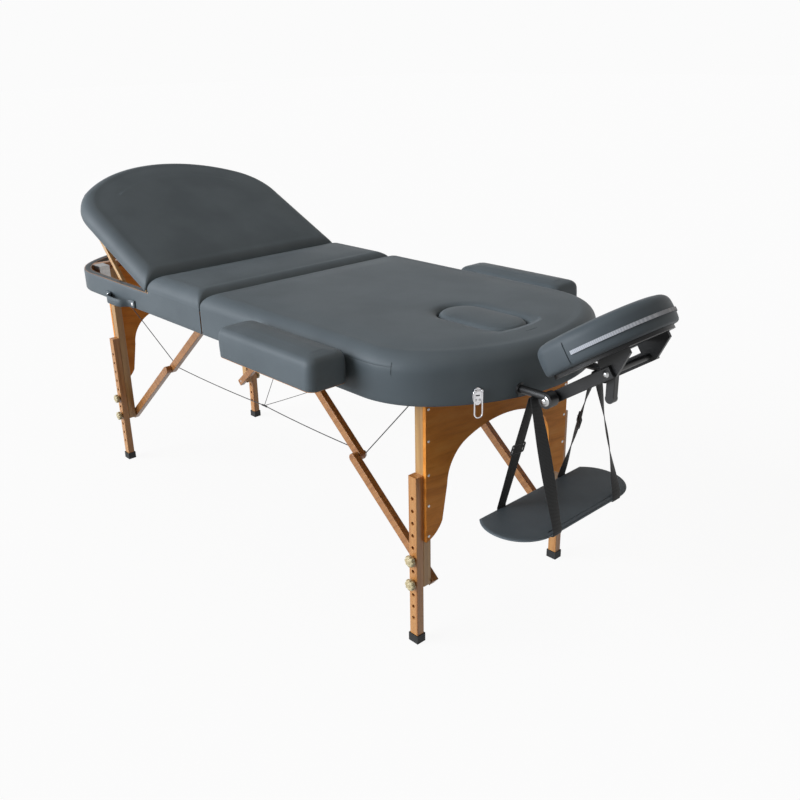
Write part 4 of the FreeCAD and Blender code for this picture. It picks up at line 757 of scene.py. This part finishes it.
# Face plug: a padded oval that fills the face hole
def makePlug(s):
    low, top = s["low"], s["top"]
    rows = [(6, low + 0.4), (1.5, low + 1), (0.6, low + 4), (0.3, 715), (0, 728)]
    rows += roundOver(s["edge"], top - 2 - s["edge"], (12, 26, 40, 54, 66, 78, 90))
    rows += [(20, top - 1.4), (25, top - 0.8), (31, top - 0.3)]
    points = []
    flat, steps, turn = (s["long"] - s["wide"]) / 2, s["steps"], s["turn"]
    for inset, z in rows:
        radius = s["wide"] / 2 - inset
        ring = arcRun((-flat, 0), radius, 225, 270, turn)
        ring += [(-flat + 2 * flat * k / steps, -radius) for k in range(steps)]
        ring += arcRun((flat, 0), radius, 270, 450, 4 * turn)
        ring += [(flat - 2 * flat * k / steps, radius) for k in range(steps)]
        ring += arcRun((-flat, 0), radius, 90, 225, 3 * turn)
        points += [(s["x"] + x, y, z) for x, y in ring]
    faces = ringFaces(len(rows), len(ring))
    faces += patchFill(points, lastRing(points, len(ring)), steps + 2 * turn, 2 * turn, s["lift"])
    faces.append(tuple(reversed(range(len(ring)))))
    piece = newPiece("plugCover", points, faces, greyVinyl, "vinyl")
    swell(piece, [i for i, p in enumerate(points) if p[2] < s["held"]], s["push"], s["cap"])
    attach(piece, "face_plug")
    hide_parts("face_plug")


makePlug(plug)

# Armrests: a padded bar on a board, its cover drawn tight along the top edge
armrest = {"from": 263, "to": 620, "inner": 360, "outer": 465, "low": 661.5, "top": 737, "edge": 18,
           "corner": 22, "seam": 24, "heldRows": 5, "push": 4.0, "cap": 3.0, "steps": (60, 20), "lift": 0.8}


def makeArmrest(name, hand, s):
    wide = (s["outer"] - s["inner"]) / 2
    middle = (s["outer"] + s["inner"]) / 2 * hand
    low, top, edge, seam = s["low"], s["top"], s["edge"], s["seam"]
    rows = [(16, low), (4, low), (0.6, low + 0.5), (-0.5, low + 2.5), (-0.8, low + 13), (-1.2, low + 26),
            (-1.2, low + 40), (-0.3, top - 3 - edge)]
    seamRow = len(rows) + 2
    rows += roundOver(edge, top - 3 - edge, (8, seam - 5, seam, seam + 5, 38, 50, 62, 74, 90))
    rows += [(edge + 4, top - 2.2), (edge + 9, top - 1.4), (edge + 15, top - 0.9)]
    points = []
    for inset, z in rows:
        corner = max(s["corner"] - 0.5 * max(inset, 0), 8)
        points += [(x, middle + y, z) for x, y in boxRing(s["from"], s["to"], wide, inset, corner, *s["steps"])]
    count = len(points) // len(rows)
    across, along = (n + 2 * boxTurn for n in s["steps"])
    faces = ringFaces(len(rows), count) + patchFill(points, lastRing(points, count), across, along, s["lift"])
    piece = newPiece("armrestCover_" + name, points, faces, greyVinyl, "vinyl")
    held = [i for i in range(len(points)) if i // count < s["heldRows"] or i // count == seamRow]
    swell(piece, held, s["push"], s["cap"])
    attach(piece, "armrest_" + name)
    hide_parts(f"armrest_{name}_pad")


for armName, armHand in hands.items():
    makeArmrest(armName, armHand, armrest)
print("armrests and plug made")

# Face cradle cushion: a tilted horseshoe with a sewn side and a strip of loop tape round it
# fold is the radius of the dark lines of painted shade down the side seams
cushion = {"place": (1027.1, 0, 735.6), "tilt": -34.2, "outer": 153, "hole": 68, "arm": 28, "thick": 69,
           "edge": 22, "heldRows": 3, "push": 4.0, "cap": 3.0, "tapeLow": 22, "tapeHigh": 30,
           "tapeRun": (24, 104), "tapeOut": 3.2, "seamHeights": (5, 10, 16, 24, 32, 40, 46, 52), "fold": 0.7,
           "steps": (10, 8, 92)}  # points round a quarter of a tip, along an arm and round the bow


def shoeRing(s, inset):
    # From the middle of the near tip, round the outside, to the far tip, and back along the inside
    tip = (s["outer"] - s["hole"]) / 2
    middle = (s["outer"] + s["hole"]) / 2
    arm = -s["arm"]
    outer, inner, small = s["outer"] - inset, s["hole"] + inset, tip - inset
    tipSteps, armSteps, bowSteps = s["steps"]
    run = []
    for side, radius, turn in ((-1, outer, 90), (1, inner, -90)):
        run += arcRun((arm, side * middle), small, 180, 270, tipSteps)
        run += [(arm * (1 - k / armSteps), side * radius) for k in range(armSteps)]
        run += arcRun((0, 0), radius, -turn, turn, bowSteps)
        run += [(arm * k / armSteps, -side * radius) for k in range(armSteps)]
        run += arcRun((arm, -side * middle), small, 90, 180, tipSteps)
    return run


def onCradle(point):
    turn = Matrix.Rotation(math.radians(cushion["tilt"]), 3, "Y")
    return tuple(turn @ Vector(point) + Vector(cushion["place"]))


def spineFill(points, ring, lift, flip=False):
    # Joins the outside of a horseshoe ring to its inside over a raised middle line
    half = len(ring) // 2
    middle = {}
    for i in range(1, half):
        a, b = Vector(points[ring[i]]), Vector(points[ring[-i]])
        points.append(tuple((a + b) / 2 + Vector((0, 0, lift))))
        middle[i] = len(points) - 1
    faces = [(ring[0], ring[1], middle[1]), (ring[0], middle[1], ring[-1]),
             (ring[half - 1], ring[half], middle[half - 1]), (middle[half - 1], ring[half], ring[half + 1])]
    for i in range(1, half - 1):
        faces.append((ring[i], ring[i + 1], middle[i + 1], middle[i]))
        faces.append((middle[i], middle[i + 1], ring[-i - 1], ring[-i]))
    return [tuple(reversed(face)) for face in faces] if flip else faces


def makeCushion(s):
    top, edge = s["thick"], s["edge"]
    shoulder = top - 3 - edge
    rows = [(22, 0.2), (10, 0.3), (5, 1.2), (1.8, 4), (0.2, 9), (-0.6, 18), (-0.8, 30), (-0.4, 38),
            (0, shoulder)]
    rows += roundOver(edge, shoulder, (10, 22, 34, 46, 58, 70, 80, 90))
    rows += [(24, top - 2), (29, top - 1.1), (34, top - 0.5)]
    flat = []
    for inset, z in rows:
        flat += [(x, y, z) for x, y in shoeRing(s, inset)]
    count = len(flat) // len(rows)
    faces = ringFaces(len(rows), count) + spineFill(flat, lastRing(flat, count), 0.4)
    faces += spineFill(flat, list(range(count)), 0, flip=True)
    piece = newPiece("cradleCushion", [onCradle(p) for p in flat], faces, darkVinyl, "vinyl")
    swell(piece, list(range(s["heldRows"] * count)), s["push"], s["cap"])
    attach(piece, "cradle_plate")
    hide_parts("cradle_cushion")
    # The tape lies on the outside, from one arm round to the other
    run = shoeRing(s, -s["tapeOut"])[slice(*s["tapeRun"])]
    heights = (s["tapeLow"], s["tapeLow"] + 1, s["tapeHigh"] - 1, s["tapeHigh"])
    tape = [onCradle((x, y, z)) for z in heights for x, y in run]
    strip = newPiece("cradleTape", tape, ringFaces(len(heights), len(run), loop=False), loopTape, "vinyl")
    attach(strip, "cradle_plate")
    # A short seam goes down the side at each end of the tape, drawn as a dark line of painted shade in its
    # crease
    shadeLines = []
    for spot in (s["tapeRun"][0] - 2, s["tapeRun"][1] + 1):
        path = []
        for z in s["seamHeights"]:
            rise = max(z - shoulder, 0)
            inset = edge - math.sqrt(edge ** 2 - rise ** 2) - s["tapeOut"] / 2
            path.append(onCradle((*shoeRing(s, inset)[spot], z)))
        shadeLines.append(seamShadeLine("fold", path, s["fold"]))
    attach(joined("cradleCushionSeamShade", shadeLines), "cradle_plate")


makeCushion(cushion)

# Cradle bolts: a washer and a domed head on each pivot disc and on each elbow
cradleBolt = {
    "pivot": {"body": "cradle_yoke", "at": (958, 117.5, 642),
              "profile": [(11.5, -0.2), (11.5, 1.0), (10.6, 1.6), (7.4, 1.7), (7.0, 2.2), (6.6, 4.6),
                          (4.6, 5.6), (0.4, 5.9)]},
    "elbow": {"body": "cradle_arms", "at": (1077, 84, 723),
              "profile": [(7.6, -0.2), (7.6, 0.8), (5.6, 1.1), (5.3, 3.2), (3.8, 4.2), (0.4, 4.5)]}}


def makeCradleBolts(bolts):
    for spot, s in bolts.items():
        heads = [turned("head", s["profile"], mirrored(s["at"], 1, hand), (0, hand, 0), zincSteel, "steel", 24)
                 for hand in hands.values()]
        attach(joined("cradleBolts_" + spot, heads), s["body"])


makeCradleBolts(cradleBolt)

# Sling: a thin padded shelf on four webbing straps with sliding buckles
shelf = {"x": 925, "deep": 155, "back": 186, "wide": 214, "front": 122, "low": 343, "top": 350.6, "edge": 3.5,
         "held": 346.6, "push": 2.0, "cap": 1.2, "steps": (40, 60), "lift": 0.4,
         "welt": (0.5, 4.2, 1.3)}  # welt: out, below the top, radius
sling = {"y": 112, "strap": 30, "thick": 1.6, "peg": 642, "buckle": (38, 24), "buckleAt": 0.45, "wire": 1.9,
         "steps": 24, "twist": {(-1, -1): 5, (-1, 1): -25, (1, -1): 44, (1, 1): -44}}
# Twists are in degrees, by side of the table and side of the shelf


def threeArc(a, b, c, count):
    # Points on the arc through three points, without the last
    ax, ay = a
    bx, by = b
    cx, cy = c
    d = 2 * (ax * (by - cy) + bx * (cy - ay) + cx * (ay - by))
    aa, bb, cc = ax * ax + ay * ay, bx * bx + by * by, cx * cx + cy * cy
    ux = (aa * (by - cy) + bb * (cy - ay) + cc * (ay - by)) / d
    uy = (aa * (cx - bx) + bb * (ax - cx) + cc * (bx - ax)) / d
    radius = math.hypot(ax - ux, ay - uy)
    start = math.degrees(math.atan2(ay - uy, ax - ux))
    stop = math.degrees(math.atan2(cy - uy, cx - ux))
    turn = (stop - start + 180) % 360 - 180
    return arcRun((ux, uy), radius, start, start + turn, count)


def shelfRing(s, inset):
    low, high = s["x"] - s["deep"] / 2 + inset, s["x"] + s["deep"] / 2 - inset
    back, wide, front = s["back"] - inset, s["wide"] - inset, s["front"] - inset
    bow, straight = s["steps"]
    return (threeArc((low, -back), (s["x"], -wide), (high, -front), bow)
            + [(high, -front + 2 * front * k / straight) for k in range(straight)]
            + threeArc((high, front), (s["x"], wide), (low, back), bow)
            + [(low, back - 2 * back * k / straight) for k in range(straight)])


def makeShelf(s):
    low, top, edge = s["low"], s["top"], s["edge"]
    rows = [(4, low), (1.4, low + 0.4), (0.4, low + 1.2), (0, low + 2.2), (0, top - 1 - edge)]
    rows += roundOver(edge, top - 1 - edge, (20, 40, 60, 76, 90)) + [(9, top - 0.6), (14, top - 0.2)]
    points = []
    for inset, z in rows:
        points += [(x, y, z) for x, y in shelfRing(s, inset)]
    count = len(points) // len(rows)
    faces = ringFaces(len(rows), count) + patchFill(points, lastRing(points, count), *s["steps"], s["lift"])
    faces += [tuple(reversed(f)) for f in patchFill(points, list(range(count)), *s["steps"])]
    piece = newPiece("slingShelf", points, faces, darkVinyl, "vinyl")
    swell(piece, [i for i, p in enumerate(points) if p[2] < s["held"]], s["push"], s["cap"])
    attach(piece, "sling")
    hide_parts("sling_shelf")
    out, down, radius = s["welt"]
    rim = [(x, y, top - down) for x, y in shelfRing(s, -out)]
    welt = tubeAlong("slingShelfWelt", rim, radius, paleVinyl, "vinyl", sides=8, spline="POLY", cyclic=True)
    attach(welt, "sling")


def flatStrap(name, path, wide, thick, twist, finish, slotName):
    # A strap along points, its width across the path, turned about it by a twist in degrees at each point
    outline = [(-0.5, -0.2), (-0.46, -0.5), (0, -0.56), (0.46, -0.5), (0.5, -0.2), (0.5, 0.2), (0.46, 0.5),
               (0, 0.56), (-0.46, 0.5), (-0.5, 0.2)]
    points = []
    spots = [Vector(p) for p in path]
    for k, spot in enumerate(spots):
        ahead = (spots[min(k + 1, len(spots) - 1)] - spots[max(k - 1, 0)]).normalized()
        side = Quaternion(ahead, math.radians(twist[k])) @ Vector((0, 1, 0))
        out = side.cross(ahead).normalized()
        points += [tuple(spot + side * wide * u + out * thick * v) for u, v in outline]
    faces = ringFaces(len(spots), len(outline)) + endCaps(len(points), len(outline))
    return newPiece(name, points, faces, finish, slotName)


def ladderBuckle(spot, ahead, twist, s):
    # A moulded frame with a bar across its middle, round which the strap is doubled back
    ahead = Vector(ahead).normalized()
    side = Quaternion(ahead, math.radians(twist)) @ Vector((0, 1, 0))
    out = side.cross(ahead).normalized()
    wide, long = (v / 2 for v in s["buckle"])
    outline = [(-1, -0.5), (-1, -1), (-0.7, -1), (0, -1), (0.7, -1), (1, -1), (1, -0.5), (1, 0), (1, 0.5),
               (1, 1), (0.7, 1), (0, 1), (-0.7, 1), (-1, 1), (-1, 0.5), (-1, 0)]
    ring = [tuple(Vector(spot) + side * wide * u + ahead * long * v) for u, v in outline]
    bar = [tuple(Vector(spot) + side * wide * u + out * 1.2) for u in (-0.98, -0.5, 0, 0.5, 0.98)]
    return [tubeAlong("buckleFrame", ring, s["wire"], blackNylon, "black_plastic", cyclic=True),
            tubeAlong("buckleBar", bar, s["wire"], blackNylon, "black_plastic")]


def makeStraps(s):
    parts, buckles = [], []
    steps, under = s["steps"], shelf["low"] - 1.3
    for hand in hands.values():
        y = hand * s["y"]
        for sign in (-1, 1):
            edgeX = shelf["x"] + sign * (shelf["deep"] / 2 + 1.4)
            high = (shelf["x"] + sign * 2.0, y, s["peg"])
            corner = (edgeX, y, shelf["top"] + 2)
            path, twist = [], []
            for k in range(steps + 1):
                t = k / steps
                path.append(tuple(Vector(high).lerp(Vector(corner), t)))
                twist.append(s["twist"][hand, sign] * sign * hand * math.sin(math.pi * t) ** 2)
            path += [(edgeX, y, shelf["top"] - 4), (edgeX, y, shelf["low"] + 2),
                     (edgeX - sign * 0.8, y, under + 0.6), (edgeX - sign * 3, y, under),
                     (edgeX - sign * 40, y, under), (shelf["x"], y, under)]
            twist += [0] * (len(path) - len(twist))
            if sign < 0:
                mark = round(steps * s["buckleAt"])
                buckles += ladderBuckle(path[mark], Vector(corner) - Vector(high), twist[mark], s)
            parts.append(flatStrap(f"strap{hand}{sign}", path, s["strap"], s["thick"], twist, blackWebbing,
                                   "webbing"))
    whole = joined("slingStraps", parts)
    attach(whole, "sling")
    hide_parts("sling_straps")
    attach(joined("slingBuckles", buckles), "sling")


makeShelf(shelf)
makeStraps(sling)
print("cradle cushion and sling made")

# Carry handle: a vinyl strap bowed out from the band
handle = {"from": 362, "long": 178, "wide": 23, "low": 633, "bow": 26, "tab": 24, "thick": 5, "steps": 12,
          "capIn": 11, "cap": [(5.6, -0.4), (5.6, 0.8), (4.6, 2.0), (2.6, 2.7), (0.4, 3.0)]}


def makeHandle(s):
    near, far, tab = s["from"], s["from"] + s["long"], s["tab"]
    face = -tablePlan["half"] - s["thick"] / 2
    bow = face - s["bow"]
    route = [(-near, face, 0), (-near - tab, face, 0), (-near - tab - 12, face - 6, 0),
             (-near - 2 * tab - 2, bow, 0), ((-near - far) / 2, bow - 0.5, 0), (-far + 2 * tab + 2, bow, 0),
             (-far + tab + 12, face - 6, 0), (-far + tab, face, 0), (-far, face, 0)]
    path = [v.co.copy() for v in curveMesh("handleRoute", route, s["steps"]).vertices]
    half, middle = s["wide"] / 2, s["low"] + s["wide"] / 2
    outline = [(-1, -0.2), (-0.94, -0.5), (-0.6, -0.52), (0, -0.5), (0.6, -0.52), (0.94, -0.5), (1, -0.2),
               (1, 0.2), (0.94, 0.5), (0, 0.5), (-0.94, 0.5), (-1, 0.2)]
    points = []
    for k, spot in enumerate(path):
        ahead = (path[min(k + 1, len(path) - 1)] - path[max(k - 1, 0)]).normalized()
        out = Vector((ahead.y, -ahead.x, 0))
        for up, across in outline:
            points.append(tuple(spot + out * across * s["thick"] * -1 + Vector((0, 0, middle + up * half))))
    count = len(outline)
    faces = ringFaces(len(path), count) + endCaps(len(points), count)
    piece = newPiece("handleStrap", points, faces, greyVinyl, "vinyl")
    cleaner = bmesh.new()
    cleaner.from_mesh(piece.data)
    bmesh.ops.recalc_face_normals(cleaner, faces=cleaner.faces)
    cleaner.to_mesh(piece.data)
    cleaner.free()
    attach(piece, "foot_half")
    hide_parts("carry_handle")
    caps = []
    for x in (-near - s["capIn"], -far + s["capIn"]):
        spot = (x, -tablePlan["half"] - s["thick"], middle)
        caps.append(turned("cap", s["cap"], spot, (0, -1, 0), chromeSteel, "chrome", 24))
    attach(joined("handleCaps", caps), "foot_half")


makeHandle(handle)

# Latches: an oval pressed plate with a raised rim on each side of the head end, with ears, slot and screws; the
# slot is a dark tube of painted shade
latch = {"angle": 29.25, "radius": 423.94, "z": 650, "wide": 24, "high": 40, "sides": 48,
         "press": [(1.0, 0.1), (1.0, 1.4), (0.95, 2.5), (0.86, 2.9), (0.76, 2.5), (0.68, 1.5), (0.3, 1.3)],
         "earUp": 13.2, "earOut": 5.4, "earShift": 7.5,
         "ear": [(2.4, -2.6), (3.3, -2.0), (3.3, 2.0), (2.4, 2.6)],
         "slotUp": 1.5, "slotHalf": 4, "slotRadius": 1.5, "slotOut": 1.2,
         "screwUp": -8.5, "screwOut": 1.3, "screwShift": 0.55,
         "screw": [(2.6, -0.2), (2.6, 0.5), (1.8, 1.1), (0.3, 1.3)]}


def makeLatches(s):
    for side, hand in hands.items():
        turn = math.radians(s["angle"]) * hand
        out = Vector((math.cos(turn), math.sin(turn), 0))
        across = Vector((-math.sin(turn), math.cos(turn), 0))
        middle = Vector((endCentre, 0, s["z"])) + out * s["radius"]
        points = []
        for share, deep in s["press"]:
            for k in range(s["sides"]):
                a = 2 * math.pi * k / s["sides"]
                points.append(tuple(middle + out * deep + across * (share * s["wide"] / 2 * math.cos(a))
                                    + Vector((0, 0, share * s["high"] / 2 * math.sin(a)))))
        faces = ringFaces(len(s["press"]), s["sides"]) + endCaps(len(points), s["sides"])
        parts = [newPiece("plate", points, faces, chromeSteel, "chrome")]
        for shift in (-s["earShift"], s["earShift"]):
            spot = middle + out * s["earOut"] + across * shift + Vector((0, 0, s["earUp"]))
            parts.append(turned("ear", s["ear"], spot, across, chromeSteel, "chrome", 20))
            spot = middle + out * s["screwOut"] + across * shift * s["screwShift"]
            spot += Vector((0, 0, s["screwUp"]))
            parts.append(turned("screw", s["screw"], spot, out, zincSteel, "chrome", 16))
        # The slot's recess is drawn as a dark tube whose colour is painted shade
        slotMiddle = middle + out * s["slotOut"] + Vector((0, 0, s["slotUp"]))
        slot = [tuple(slotMiddle + across * s["slotHalf"] * share) for share in (-1, -0.5, 0, 0.5, 1)]
        parts.append(tubeAlong("slot", slot, s["slotRadius"], seamShade, "chrome", sides=8))
        whole = joined("latchPlate_" + side, parts)
        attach(whole, "head_half")
        if hand > 0:
            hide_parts("latch_plates")


makeLatches(latch)

# Bracing cables: black coated wire from the legs by the elbows to ferrules at the fold, cords across and up
cable = {"radius": 1.3, "leg": (709, 243.7, 620), "elbow": (461.4, 184.4, 382.2), "ferrule": (0, 170, 375),
         "split": 250, "lift": (5, 43, 632), "sag": 4, "cordRadius": 0.9, "cordSag": 3, "blend": (120, 0, 500),
         "sleeveShift": 7, "sleeve": [(1.6, -5), (2.6, -4.4), (2.6, 4.4), (1.6, 5)]}


def along(a, b, share, sag=0.0):
    spot = Vector(a).lerp(Vector(b), share)
    spot.z -= 4 * sag * share * (1 - share)
    return tuple(spot)


def cordAlong(name, route, radius, spline="NURBS"):
    return tubeAlong(name, route, radius, cablePvc, "black_plastic", spline=spline)


def makeCables(s):
    part = 1 - s["split"] / s["elbow"][0]  # share of the lower run that bends with the elbow
    for side, hand in hands.items():
        ferrule = mirrored(s["ferrule"], 1, hand)
        for end, way in ends.items():
            leg, elbow = mirrored(s["leg"], way, hand), mirrored(s["elbow"], way, hand)
            upperRoute = [along(leg, elbow, k / 12) for k in range(13)]
            upper = cordAlong(f"cableUpper_{end}_{side}", upperRoute, s["radius"])
            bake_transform(upper)
            lowerRoute = [along(elbow, ferrule, part * k / 8, s["sag"]) for k in range(9)]
            lower = cordAlong(f"cableLower_{end}_{side}", lowerRoute, s["radius"])
            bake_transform(lower)
        shares = [part + (1 - part) * k / 12 for k in range(13)]
        route = [along(mirrored(s["elbow"], 1, hand), ferrule, share, s["sag"]) for share in shares[:-1]]
        route += [along(mirrored(s["elbow"], -1, hand), ferrule, share, s["sag"]) for share in reversed(shares)]
        middle = [cordAlong("span", route, s["radius"], "POLY")]
        for shift in (-s["sleeveShift"], s["sleeveShift"]):
            middle.append(turned("sleeve", s["sleeve"], (shift, ferrule[1], ferrule[2] - 0.4), (1, 0, 0.02),
                                 cablePvc, "black_plastic", 14))
        lift = mirrored(s["lift"], 1, hand)
        middle.append(cordAlong("lift", [along(ferrule, lift, k / 6) for k in range(7)], s["cordRadius"]))
        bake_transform(joined("cableMiddle_" + side, middle))
    near, far = (mirrored(s["ferrule"], 1, hand) for hand in hands.values())
    cord = cordAlong("crossCord", [along(near, far, k / 14, s["cordSag"]) for k in range(15)], s["cordRadius"])
    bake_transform(cord)
    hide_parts("cables")


makeCables(cable)
print("handle and cables made")

# Star knobs: moulded, eight soft lobes, a collar towards the leg and a small domed cap
knob = {"heights": {"upper": 228, "lower": 164.4}, "face": 278.3, "x": 725, "lobes": 8, "lobeDeep": 0.16,
        "profile": [(7.5, 0.2), (7.8, 0.6), (8.2, 3.6), (9.2, 4.2, 0.2), (13.2, 4.6, 0.9), (14.2, 5.4, 1),
                    (14.6, 7, 1), (14.6, 11, 1), (14.0, 13, 1), (12.6, 14.3, 0.9), (10.2, 15.0, 0.6),
                    (7.6, 15.2, 0.2), (7.0, 15.1), (6.6, 14.5), (6.2, 14.5), (5.6, 15.3), (3.6, 15.9),
                    (0.6, 16.0)]}


def makeKnobs(s):
    for end, way in ends.items():
        for side, hand in hands.items():
            for level, z in s["heights"].items():
                body = f"{end}_{side}_{level}_knob"
                spot = mirrored((s["x"], s["face"], z), way, hand)
                piece = turned("starKnob_" + body, s["profile"], spot, (0, hand, 0), creamAbs, "cream_plastic",
                               96, s["lobes"], s["lobeDeep"])
                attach(piece, body)
                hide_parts(body)


makeKnobs(knob)

# Screws that hold the arched panels to the legs
panelScrew = {"face": 747, "y": 247, "heights": (601, 525, 442, 365, 287),
              "profile": [(3.6, -0.3), (3.6, 0.2), (3.0, 0.9), (1.6, 1.3), (1.1, 0.9), (0.3, 0.8)]}


def makeScrews(s):
    for end, way in ends.items():
        heads = []
        for hand in hands.values():
            for z in s["heights"]:
                spot = mirrored((s["face"], s["y"], z), way, hand)
                heads.append(turned("head", s["profile"], spot, (way, 0, 0), zincSteel, "steel", 18))
        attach(joined("panelScrews_" + end, heads), end + "_leg_frame")


makeScrews(panelScrew)
print("knobs and screws made")

# Finishes of the solids that stay
finishes = [(beechAlong, ["head_frame", "foot_frame", "armrest_near_base", "armrest_far_base"]),
            (deckPly, ["head_deck", "middle_deck", "backrest_board"]),
            (paleBeech, ["prop_stay"]),
            (zincSteel, ["head_fittings", "foot_fittings", "backrest_hinges"]),
            (chromeSteel, ["latch_bail_near", "latch_bail_far"]),
            (blackNylon, ["cradle_sockets", "cradle_arms", "cradle_plate", "cradle_lever", "cradle_yoke"])]
for endName in ends:
    for finish, names in ((beechUpright, ["_upper_legs"]),
                          (beechSlide, ["_near_sliding_leg", "_far_sliding_leg"]),
                          (beechBrace[endName], ["_upper_braces", "_lower_braces"]),
                          (archPly, ["_arch_panel"]),
                          (zincSteel, ["_leg_bolts", "_elbow_bolts"]),
                          (footRubber, ["_near_rubber_foot", "_far_rubber_foot"])):
        finishes.append((finish, [endName + name for name in names]))
for finish, names in finishes:
    for nodeName in names:
        holder = nodes[nodeName]
        if not holder.material_slots:
            holder.data.materials.append(finish)
        for slot in holder.material_slots:
            slot.material = finish
print("finishes set")

# Studio: a pale floor that keeps the shadow, a pale surround with a dim ceiling, soft light from the near side
studio = {"backdrop": "#fbfbfb", "glow": "#ffffff", "ceiling": "#8f9092", "surround": "#f1efec", "level": 0.16,
          "floorSeen": "#f8f8f8", "floorBounce": "#9a9a99", "share": 0.92, "floorHalf": 40}
lamps = {"keyLight": {"level": 4.2, "from": (-0.55, -1.0, 0.36), "spread": 50, "colour": "#eef3fa"},
         "topLight": {"level": 0.5, "from": (0.25, 0.0, 1.0), "spread": 70, "colour": "#fff2e2"}}


def seenRays(tree):
    # 1 for rays that look at the background: straight, mirrored or through glass
    path = addNode(tree, "LightPath")
    seen = path.outputs["Is Camera Ray"]
    for kind in ("Is Glossy Ray", "Is Transmission Ray"):
        seen = addNode(tree, "Math", {0: seen, 1: path.outputs[kind]}, operation="MAXIMUM").outputs[0]
    return seen


def makeStudio(s):
    world = bpy.data.worlds.new("studioWorld")
    scene.world = world
    world.use_nodes = True
    tree = world.node_tree
    tree.nodes.clear()
    height = addNode(tree, "SeparateXYZ", {0: addNode(tree, "TexCoord").outputs["Generated"]})
    sky = addNode(tree, "ValToRGB", {0: height.outputs["Z"]},
                  stops=[(0.16, s["backdrop"]), (0.5, s["ceiling"])])
    light = addNode(tree, "Background", {"Color": linear(s["surround"]), "Strength": s["level"]})
    white = addNode(tree, "Background", {"Color": sky.outputs["Color"], "Strength": 1.0})
    mix = addNode(tree, "MixShader", {0: seenRays(tree), 1: light.outputs[0], 2: white.outputs[0]})
    addNode(tree, "OutputWorld", {"Surface": mix.outputs[0]})
    for name, lampLook in lamps.items():
        lamp = bpy.data.lights.new(name, "SUN")
        lamp.energy = lampLook["level"]
        lamp.angle = math.radians(lampLook["spread"])
        lamp.color = linear(lampLook["colour"])[:3]
        holder = bpy.data.objects.new(name, lamp)
        holder.rotation_euler = Vector(lampLook["from"]).to_track_quat("Z", "Y").to_euler()
        scene.collection.objects.link(holder)
    # Paper floor: matt, nearly white where it is looked at, and it takes the object's shadow
    floor, tree, shader, _ = newFinish("mattPaperFloor", Roughness=0.9, Specular_IOR_Level=0.0)
    shader.inputs["Base Color"].default_value = linear(s["floorBounce"])
    glow = addNode(tree, "Emission", {"Color": linear(s["glow"]), "Strength": 1.0})
    paper = addNode(tree, "BsdfDiffuse", {"Color": linear(s["floorSeen"])})
    seen = addNode(tree, "MixShader", {0: s["share"], 1: paper.outputs[0], 2: glow.outputs[0]})
    mix = addNode(tree, "MixShader", {0: seenRays(tree), 1: shader.outputs[0], 2: seen.outputs[0]})
    tree.links.new(mix.outputs[0], tree.nodes["Material Output"].inputs["Surface"])
    data = bpy.data.meshes.new("studioFloor")
    reach = s["floorHalf"]
    corners = [(-reach, -reach, 0), (reach, -reach, 0), (reach, reach, 0), (-reach, reach, 0)]
    data.from_pydata(corners, [], [(0, 1, 2, 3)])
    data.materials.append(floor)
    plane = bpy.data.objects.new("studioFloor", data)
    scene.collection.objects.link(plane)


makeStudio(studio)
print("studio set")
